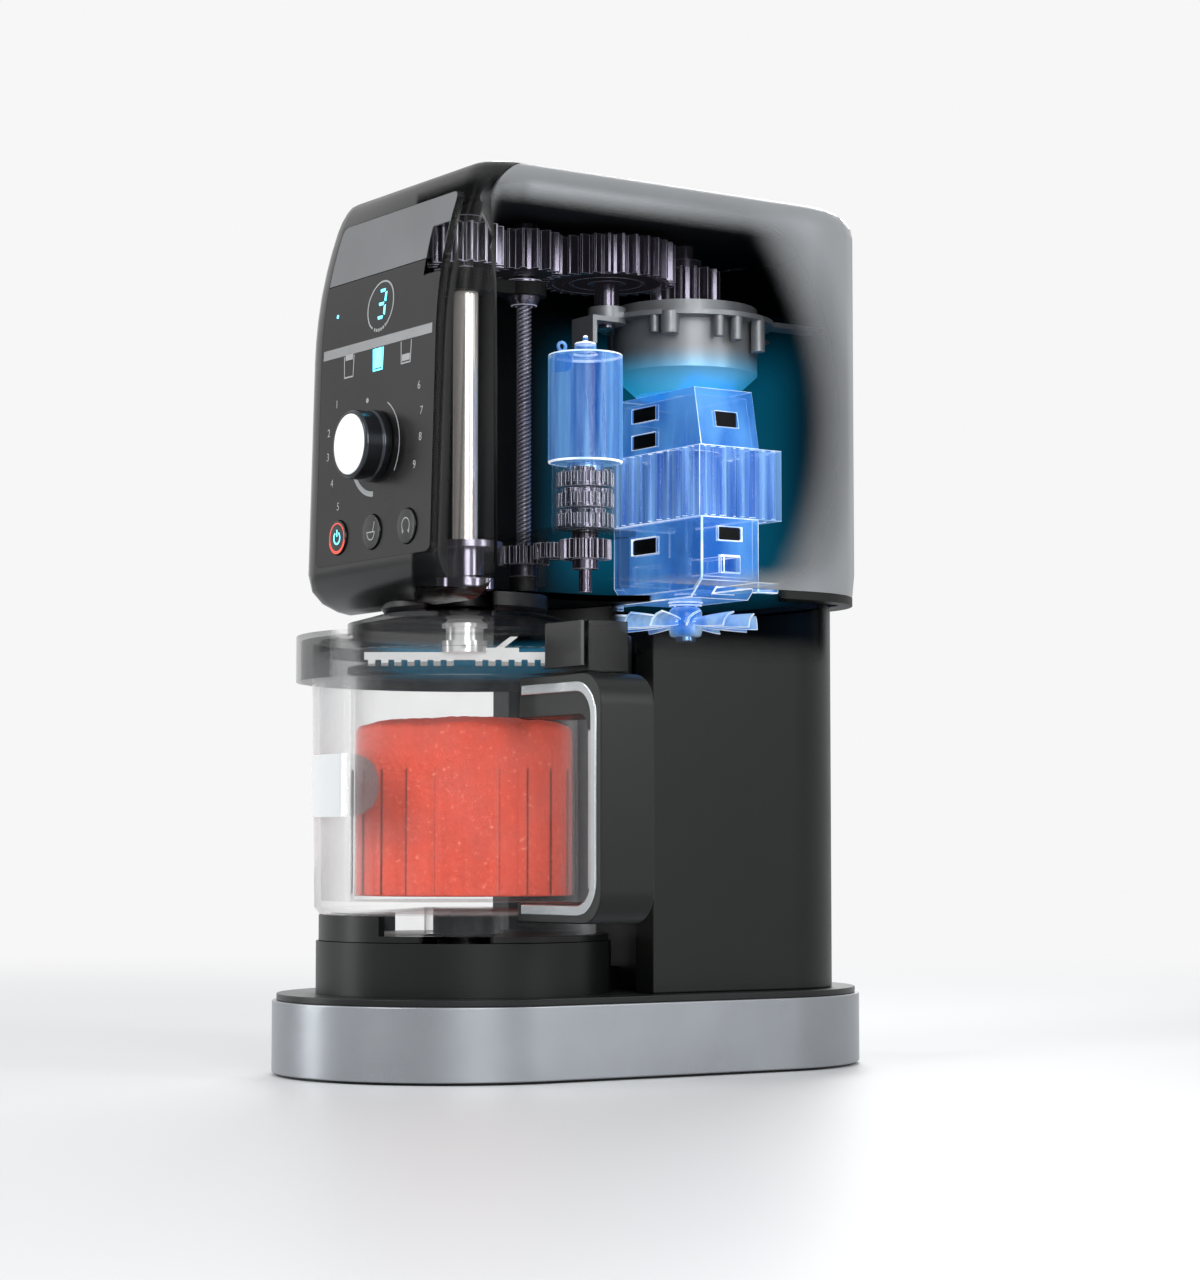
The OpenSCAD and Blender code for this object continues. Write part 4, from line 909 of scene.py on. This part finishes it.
class MAKER_OT_controls(Piece, bpy.types.Operator):
    """Makes the dial, its button with a white face that paints a highlight, and the three keys"""
    bl_idname = "maker.controls"
    bl_label = "Dial and keys"

    def make(self, size):
        foot = face_y(DIAL_Z - DIAL_RADIUS) - 0.2
        self.dial(foot)
        cap = turned(soft_profile([(0, -3.4, 0), (13.8, -3.4, 0.3), (13.8, 0.2, 0.5),
                                   (0, 0.75, 0)], 0.3))
        upright(cap, foot - 13 + 0.1, DIAL_Z)
        new_piece("dial_cap_face", cap, "dial_cap", "cap", "dial_cap", smooth=40)
        front = face_y(KEY_Z - KEY_RADIUS) - KEY_SUNK
        for node, x in KEYS.items():
            key = turned(soft_profile([(0, -3.2, 0), (KEY_RADIUS, -3.2, 0.2), (KEY_RADIUS, 0, 0.5),
                                       (0, 0, 0)], 0.3), 72)
            upright(key, front, KEY_Z, x)
            new_piece(node + "_face", key, node, "key", node, smooth=40)
        self.signs(front - 0.03)

    def dial(self, foot):
        """A ring with a fluted grip, and its shaft."""
        shell = [(3, -2, 0.1), (12, -2, 0.2), (DIAL_RADIUS, -0.2, 0.3), (DIAL_RADIUS, 3.4, 0.6),
                 (15.8, 4.2, 0.3), (15.6, 11.8, 0.4), (14.6, 13.0, 0.5), (13.95, 13.0, 0.1),
                 (13.95, 8.2, 0.1), (3, 8.2, 0.1)]
        flutes, depth = 60, 0.006
        work = turned(soft_profile(shell, 0.4), flutes * 2)
        for vert in work.verts:
            if 4.3 < vert.co.z / MM < 11.9 and hypot(vert.co.x, vert.co.y) > 15.2 * MM:
                turn = atan2(vert.co.y, vert.co.x)
                scale = 1 - depth * (0.5 + 0.5 * cos(turn * flutes))
                vert.co.x *= scale
                vert.co.y *= scale
        upright(work, foot, DIAL_Z)
        new_piece("dial", work, "dial", "dial", "dial_ring", smooth=40)
        shaft = turned([(0, -10), (3, -10), (3, 1), (0, 1)], 48)
        upright(shaft, foot, DIAL_Z)
        new_piece("dial_shaft", shaft, "dial", "steel")

    def signs(self, y):
        """The signs on the keys' faces."""
        left, middle, right = KEYS.values()
        power_bar = box(left - 0.35, 244.4, left + 0.35, 247.6)
        whisk = [(2.6, 244.1), (3.1, 244.1), (4.6, 248.4), (4.1, 248.4)]
        arrows = [[(29.2, 240.6), (30.6, 241.9), (28.6, 242.6)],
                  [(34.8, 240.6), (35.4, 242.6), (33.4, 241.9)]]
        for name, look, body, outlines in (
                ("power_sign", "cyan", "power_key",
                 arc_band(left, 243.8, 2.4, 3.1, 125, 415) + [power_bar]),
                ("power_edge", "red", "power_key", arc_band(left, KEY_Z, 6.3, 6.75, 0, 359)),
                ("mix_sign", "mark", "mode_key", arc_band(middle, 243.6, 3.0, 3.5, 180, 360)
                 + [box(-2.6, 243.6, 4.6, 244.1), whisk]),
                ("loop_sign", "mark", "repeat_key",
                 arc_band(right, 244.4, 3.0, 3.5, -50, 230) + arrows)):
            work = bmesh.new()
            for outline in outlines:
                sheet(work, [(x, y, z) for x, z in outline])
            shift(work, y=0.0001, verts=grow(work, work.faces[:]))
            new_piece(name, work, body, look)


class MAKER_OT_train(Piece, bpy.types.Operator):
    """Makes the spindle's gear train with its gearbox and plate"""
    bl_idname = "maker.train"
    bl_label = "Gear train"

    def make(self, size):
        for node in ("spindle_gear", "screw_idler", "wheel_idler", "output_carrier"):
            dress(node, "gear", size.gear_edge, edge="tooth")
        for node in ("sun_pinion", "planet_a", "planet_b", "planet_c", "ring_gear"):
            dress(node, "steel", 0.0002)
        dress("wheel_axle", "gear", 0.0004)
        dress("train_plate", "liner", 0.0004)
        dress("gearbox_cup", "cup", 0.0007, 3)
        self.bosses()

    def bosses(self):
        """Screw bosses round the cup's rim, each with its own radius and length."""
        rim, top = 40, 355.5
        work = bmesh.new()
        for turn, radius, length in ((25, 3.4, 17), (2, 2.8, 13), (-12, 2.4, 12), (-46, 4.4, 11),
                                     (-57, 2.2, 10), (150, 3, 13), (178, 2.6, 12), (205, 3.4, 14)):
            pin(work, *polar(rim, turn, 0, MOTOR_Y / MM), radius, top - length, top)
        new_piece("gearbox_bosses", work, "frame", "cup", smooth=40, bevel=0.0005)


class MAKER_OT_motor(Piece, bpy.types.Operator):
    """Makes the main motor with its brackets, rotor, brushes and fan"""
    bl_idname = "maker.motor"
    bl_label = "Main motor"

    def make(self, size):
        for node, look, bevel in (("stator", "coil", 0.0009), ("upper_bracket", "bracket", 0.0006),
                                  ("lower_bracket", "bracket", 0.0006),
                                  ("brush_holders", "motor", 0.0005)):
            dress(node, look, bevel, edge="ice")
        dress("rotor", "core", 0.0005, 3)
        self.ribs()
        self.windows()
        self.fan(size)

    def ribs(self):
        """Upright ribs of three widths on the four sides of the stator."""
        low, high = 258.6, 291.4
        right, front, back = 36.4, 47.1, 95.5
        spots = []
        for k, y in enumerate((50.5, 55, 60.5, 67.5, 72, 78, 84.5, 90.5)):
            spots += [(-right, y, k), (right, y, k)]
        for k, x in enumerate((-32, -26.5, -19, -12, -4, 4, 11, 19, 25, 31)):
            spots += [(x, front, k), (x, back, k)]
        work = bmesh.new()
        for x, y, k in spots:
            pin(work, x, y, 0.7 + k % 3 * 0.5, low, high, 20)
        new_piece("stator_ribs", work, "frame", "coil", smooth=50, bevel=0.0003, edge="ice")

    def windows(self):
        """Dark panes that paint the shade seen through the brackets' windows: three in front, two
        on each side.
        """
        thick = 0.5
        work = bmesh.new()
        for low, high in ((295.2, 301.8), (308.2, 314.8), (243.7, 250.8)):
            block(work, (-20.8, -1.2), (49.0, 49.0 + thick), (low, high))
        for low, high, x in ((301.7, 308.8, 32.2), (247.6, 253.4, 35.0)):
            for side in (-1, 1):
                block(work, sorted((side * x, side * (x + thick))), (58.7, 71.3), (low, high))
        new_piece("bracket_window_shade", work, "frame", "liner")

    def fan(self, size):
        """A hub and bowed, twisted blades."""
        low, high = 203.5, 217.6
        hub = turned(soft_profile([(4.9, low, 0.3), (7.4, low, 1), (8, 206, 1), (8, 216, 1),
                                   (6.5, high, 1), (4.9, high, 0.3)], 0.8), 64, (0, MOTOR_Y))
        new_piece("fan_hub", hub, "rotor", "fan", smooth=40)
        blades, middle, room = 12, 0.2105, 0.0066
        work = bmesh.new()
        for k in range(blades):
            made = bmesh.ops.create_grid(work, x_segments=8, y_segments=3, size=0.5)["verts"]
            for vert in made:
                along, across = vert.co.x + 0.5, vert.co.y
                width = (3.8 + 6.2 * along ** 0.8) * MM
                slant = size.fan_twist + 0.35 * (1 - along)
                bow = 1.6 * MM * (1 - 4 * across ** 2)
                side = across * width * cos(slant) - bow * sin(slant)
                up = across * width * sin(slant) + bow * cos(slant)
                vert.co = ((7 + 27.6 * along) * MM, side, middle + max(-room, min(room, up)))
            swing(work, tau * k / blades, "Z", made)
        shift(work, y=MOTOR_Y)
        bmesh.ops.solidify(work, geom=work.faces[:], thickness=0.0009)
        new_piece("fan_blades", work, "rotor", "fan", "cooling_fan", smooth=40, bevel=0.0003,
                  edge="ice")


class MAKER_OT_lift(Piece, bpy.types.Operator):
    """Makes the lift drive: screw, gears, reducer and motor"""
    bl_idname = "maker.lift"
    bl_label = "Lift drive"

    def make(self, size):
        self.screw(size.thread_lead)
        for node in ("lift_idler", "lift_output"):
            dress(node, "gear", 0.0002, edge="tooth")
        dress("lift_gear_plate", "shelf")
        dress("lift_reducer", "ring")
        dress("lift_motor", "motor", 0.0009, edge="ice")
        self.motor()
        self.stages()

    def screw(self, lead):
        """The lead screw, thinned to its core along the thread, and four wound ridges."""
        radius, core, low, high = 3.6, 0.82, 242.2, 369.2
        screw = dress("lead_screw", "screw", edge="tooth")
        for vert in screw.data.vertices:
            x, y = vert.co.x, vert.co.y - SCREW_Y
            inside = low - 1.7 < vert.co.z / MM < high + 0.5
            if inside and abs(hypot(x, y) - radius * MM) < 2e-5:
                vert.co.x, vert.co.y = x * core, SCREW_Y + y * core
        starts = 4
        turns = (high - low) * MM / (lead * starts)
        steps = int(turns * 28)
        ridge = ((2.9, -0.75), (radius, -0.22), (radius, 0.22), (2.9, 0.75))
        work = bmesh.new()
        for k in range(starts):
            verts = [work.verts.new((r * MM, 0, z * MM)) for r, z in ridge]
            edges = [work.edges.new(pair) for pair in zip(verts, verts[1:])]
            swing(work, tau * k / starts, "Z", verts)
            shift(work, z=(low + 0.4) * MM, verts=verts)
            bmesh.ops.spin(work, geom=verts + edges, cent=(0, 0, 0), axis=(0, 0, 1), steps=steps,
                           angle=tau * turns, dvec=(0, 0, (high - low - 1.6) * MM / steps))
        shift(work, y=SCREW_Y)
        # Light ridges on a darker core: painted highlight and painted shade along the thread.
        new_piece("screw_thread", work, "lead_screw", "ridge", smooth=60)

    def stages(self):
        """Toothed rings of the reducer, seen through its clear case."""
        axis = [part / MM for part in LIFT]
        teeth, inner, outer, tall = 26, 11.9, 13.4, 6.6
        tooth = ((0.0, inner), (0.18, outer), (0.5, outer), (0.68, inner))
        outline = [polar(radius, 360 * (k + part) / teeth, *axis)
                   for k in range(teeth) for part, radius in tooth]
        work = bmesh.new()
        for low in (247.5, 257.0, 266.5):
            prism(work, outline, low, low + tall)
            pin(work, *axis, 8.5, low + tall, low + 9.4, 32)
        new_piece("reducer_stages", work, "frame", "gear", bevel=0.0003, edge="ridge")

    def motor(self):
        """The lug on the motor's lid, the collar under it and a pale patch on its side."""
        lug = turned([(1.4, -0.5), (2.6, -0.5), (2.6, 0.5), (1.4, 0.5)], 32)
        swing(lug, radians(90), "Y")
        shift(lug, LIFT[0] - 0.006, LIFT[1] - 0.009, 0.3318)
        new_piece("motor_lug", lug, "frame", "motor", smooth=40)
        collar = turned(soft_profile([(3, 270, 0.2), (8.5, 273, 1), (8.5, 277.5, 0.2),
                                      (3, 277.5, 0.2)], 0.8), 64, LIFT)
        new_piece("motor_nose", collar, "frame", "core", smooth=40)
        patch = bmesh.new()
        pad(patch, (LIFT[0] / MM, LIFT[1] / MM), 17.15, -78, 24, 318, 326, 0.4)
        new_piece("motor_patch", patch, "frame", "bracket", smooth=50)


class MAKER_OT_spindle(Piece, bpy.types.Operator):
    """Makes the spindle, its guide and carriage, and the paddle"""
    bl_idname = "maker.spindle"
    bl_label = "Spindle"

    def make(self, size):
        dress("spindle_guide", "guide", 0.0005, edge="tooth")
        dress("feed_carriage", "liner", 0.0006)
        dress("feed_nut", "gear", 0.0004, edge="tooth")
        dress("spindle", "shaft", 0.0002)
        dress("paddle", "blade")


class MAKER_OT_bowl(Piece, bpy.types.Operator):
    """Makes the clear bowl with its tub, dessert, lid and handle"""
    bl_idname = "maker.bowl"
    bl_label = "Bowl"

    def make(self, size):
        dress("bowl", "bowl", 0.0006, 3)
        dress("tub", "tub", 0.0004)
        dress("lid", "lid", 0.0008, 3)
        dress("lid_latch_button", "key", 0.0006, 3)
        dress("handle", "handle", 0.0035, 5, smooth=40)
        dress("handle_strip", "strip", 0.0012, 4)
        self.dessert()
        self.loops()
        work = bmesh.new()
        pad(work, (0, SPINDLE_Y / MM), 69.75, -94, 30, 115.5, 143.5)
        new_piece("bare_badge", work, "bowl", "badge", smooth=50)

    def loops(self):
        """Bright rims along both sides of the handle: a painted highlight where light catches its
        inner ring.
        """
        work = bmesh.new()
        outline = []
        for right, low, high, radius in ((128.6, 72.8, 172.6, 15.0), (124.4, 77.2, 168.2, 11.0)):
            run = [(70.5, high)]
            for start, z in ((90, high - radius), (0, low + radius)):
                run += [polar(radius, start - k * 90 / 8, right - radius, z) for k in range(9)]
            run.append((70.5, low))
            outline += run[::-1] if outline else run
        for side in (-1, 1):
            y = SPINDLE_Y / MM + side * 13.1
            face = sheet(work, [(x, y, z) for x, z in outline])
            shift(work, y=side * 0.0013, verts=grow(work, [face], keep=True))
        new_piece("handle_loops", work, "bowl", "loop", smooth=40, bevel=0.0005, segments=3)

    def dessert(self):
        """Frozen fruit with an uneven top and a slightly dented side."""
        low, high = 80.3, 156.5
        work = turned(soft_profile([(0, low, 0), (49.5, low, 1), (49.6, high, 3), (40, 159.3, 3),
                                    (22, 160.6, 3), (0, 161.0, 0)], 1.5, 4), 96, (0, SPINDLE_Y))
        long_edges = [e for e in work.edges if e.calc_length() > 0.004]
        bmesh.ops.subdivide_edges(work, edges=long_edges, cuts=6, use_grid_fill=True)
        for vert in work.verts:
            where = vert.co * 90
            push = noise.noise(where) * 0.0005 + noise.noise(where * 4) * 0.00022
            if vert.co.z > (high - 0.5) * MM:
                vert.co.z += push * 2.2
            elif vert.co.z > (low + 0.7) * MM:
                vert.co.x *= 1 - abs(push) * 12
                vert.co.y = SPINDLE_Y + (vert.co.y - SPINDLE_Y) * (1 - abs(push) * 12)
        new_piece("frozen_fruit", work, "bowl", "dessert", "frozen_dessert", smooth=60)


OPERATORS = (MAKER_OT_stage, MAKER_OT_base, MAKER_OT_pedestal, MAKER_OT_pillar, MAKER_OT_head,
             MAKER_OT_panel, MAKER_OT_controls, MAKER_OT_train, MAKER_OT_motor, MAKER_OT_lift,
             MAKER_OT_spindle, MAKER_OT_bowl)


class MAKER_PT_panel(bpy.types.Panel):
    """Lists the steps and the values"""
    bl_label = "Dessert maker"
    bl_idname = "MAKER_PT_panel"
    bl_space_type = "VIEW_3D"
    bl_region_type = "UI"
    bl_category = "Dessert maker"

    def draw(self, context):
        column = self.layout.column()
        for group in (context.scene.maker_look, context.scene.maker_size):
            for name in group.__annotations__:
                column.prop(group, name)
        for step in OPERATORS:
            column.operator(step.bl_idname)


CLASSES = (MakerLook, MakerSize) + OPERATORS + (MAKER_PT_panel,)


def register():
    for item in CLASSES:
        bpy.utils.register_class(item)
    bpy.types.Scene.maker_look = bpy.props.PointerProperty(type=MakerLook)
    bpy.types.Scene.maker_size = bpy.props.PointerProperty(type=MakerSize)


def unregister():
    del bpy.types.Scene.maker_size
    del bpy.types.Scene.maker_look
    for item in reversed(CLASSES):
        bpy.utils.unregister_class(item)


def main():
    register()
    mix_finishes()
    for step in OPERATORS:
        group, name = step.bl_idname.split(".")
        getattr(getattr(bpy.ops, group), name)()


if __name__ == "__main__":
    main()
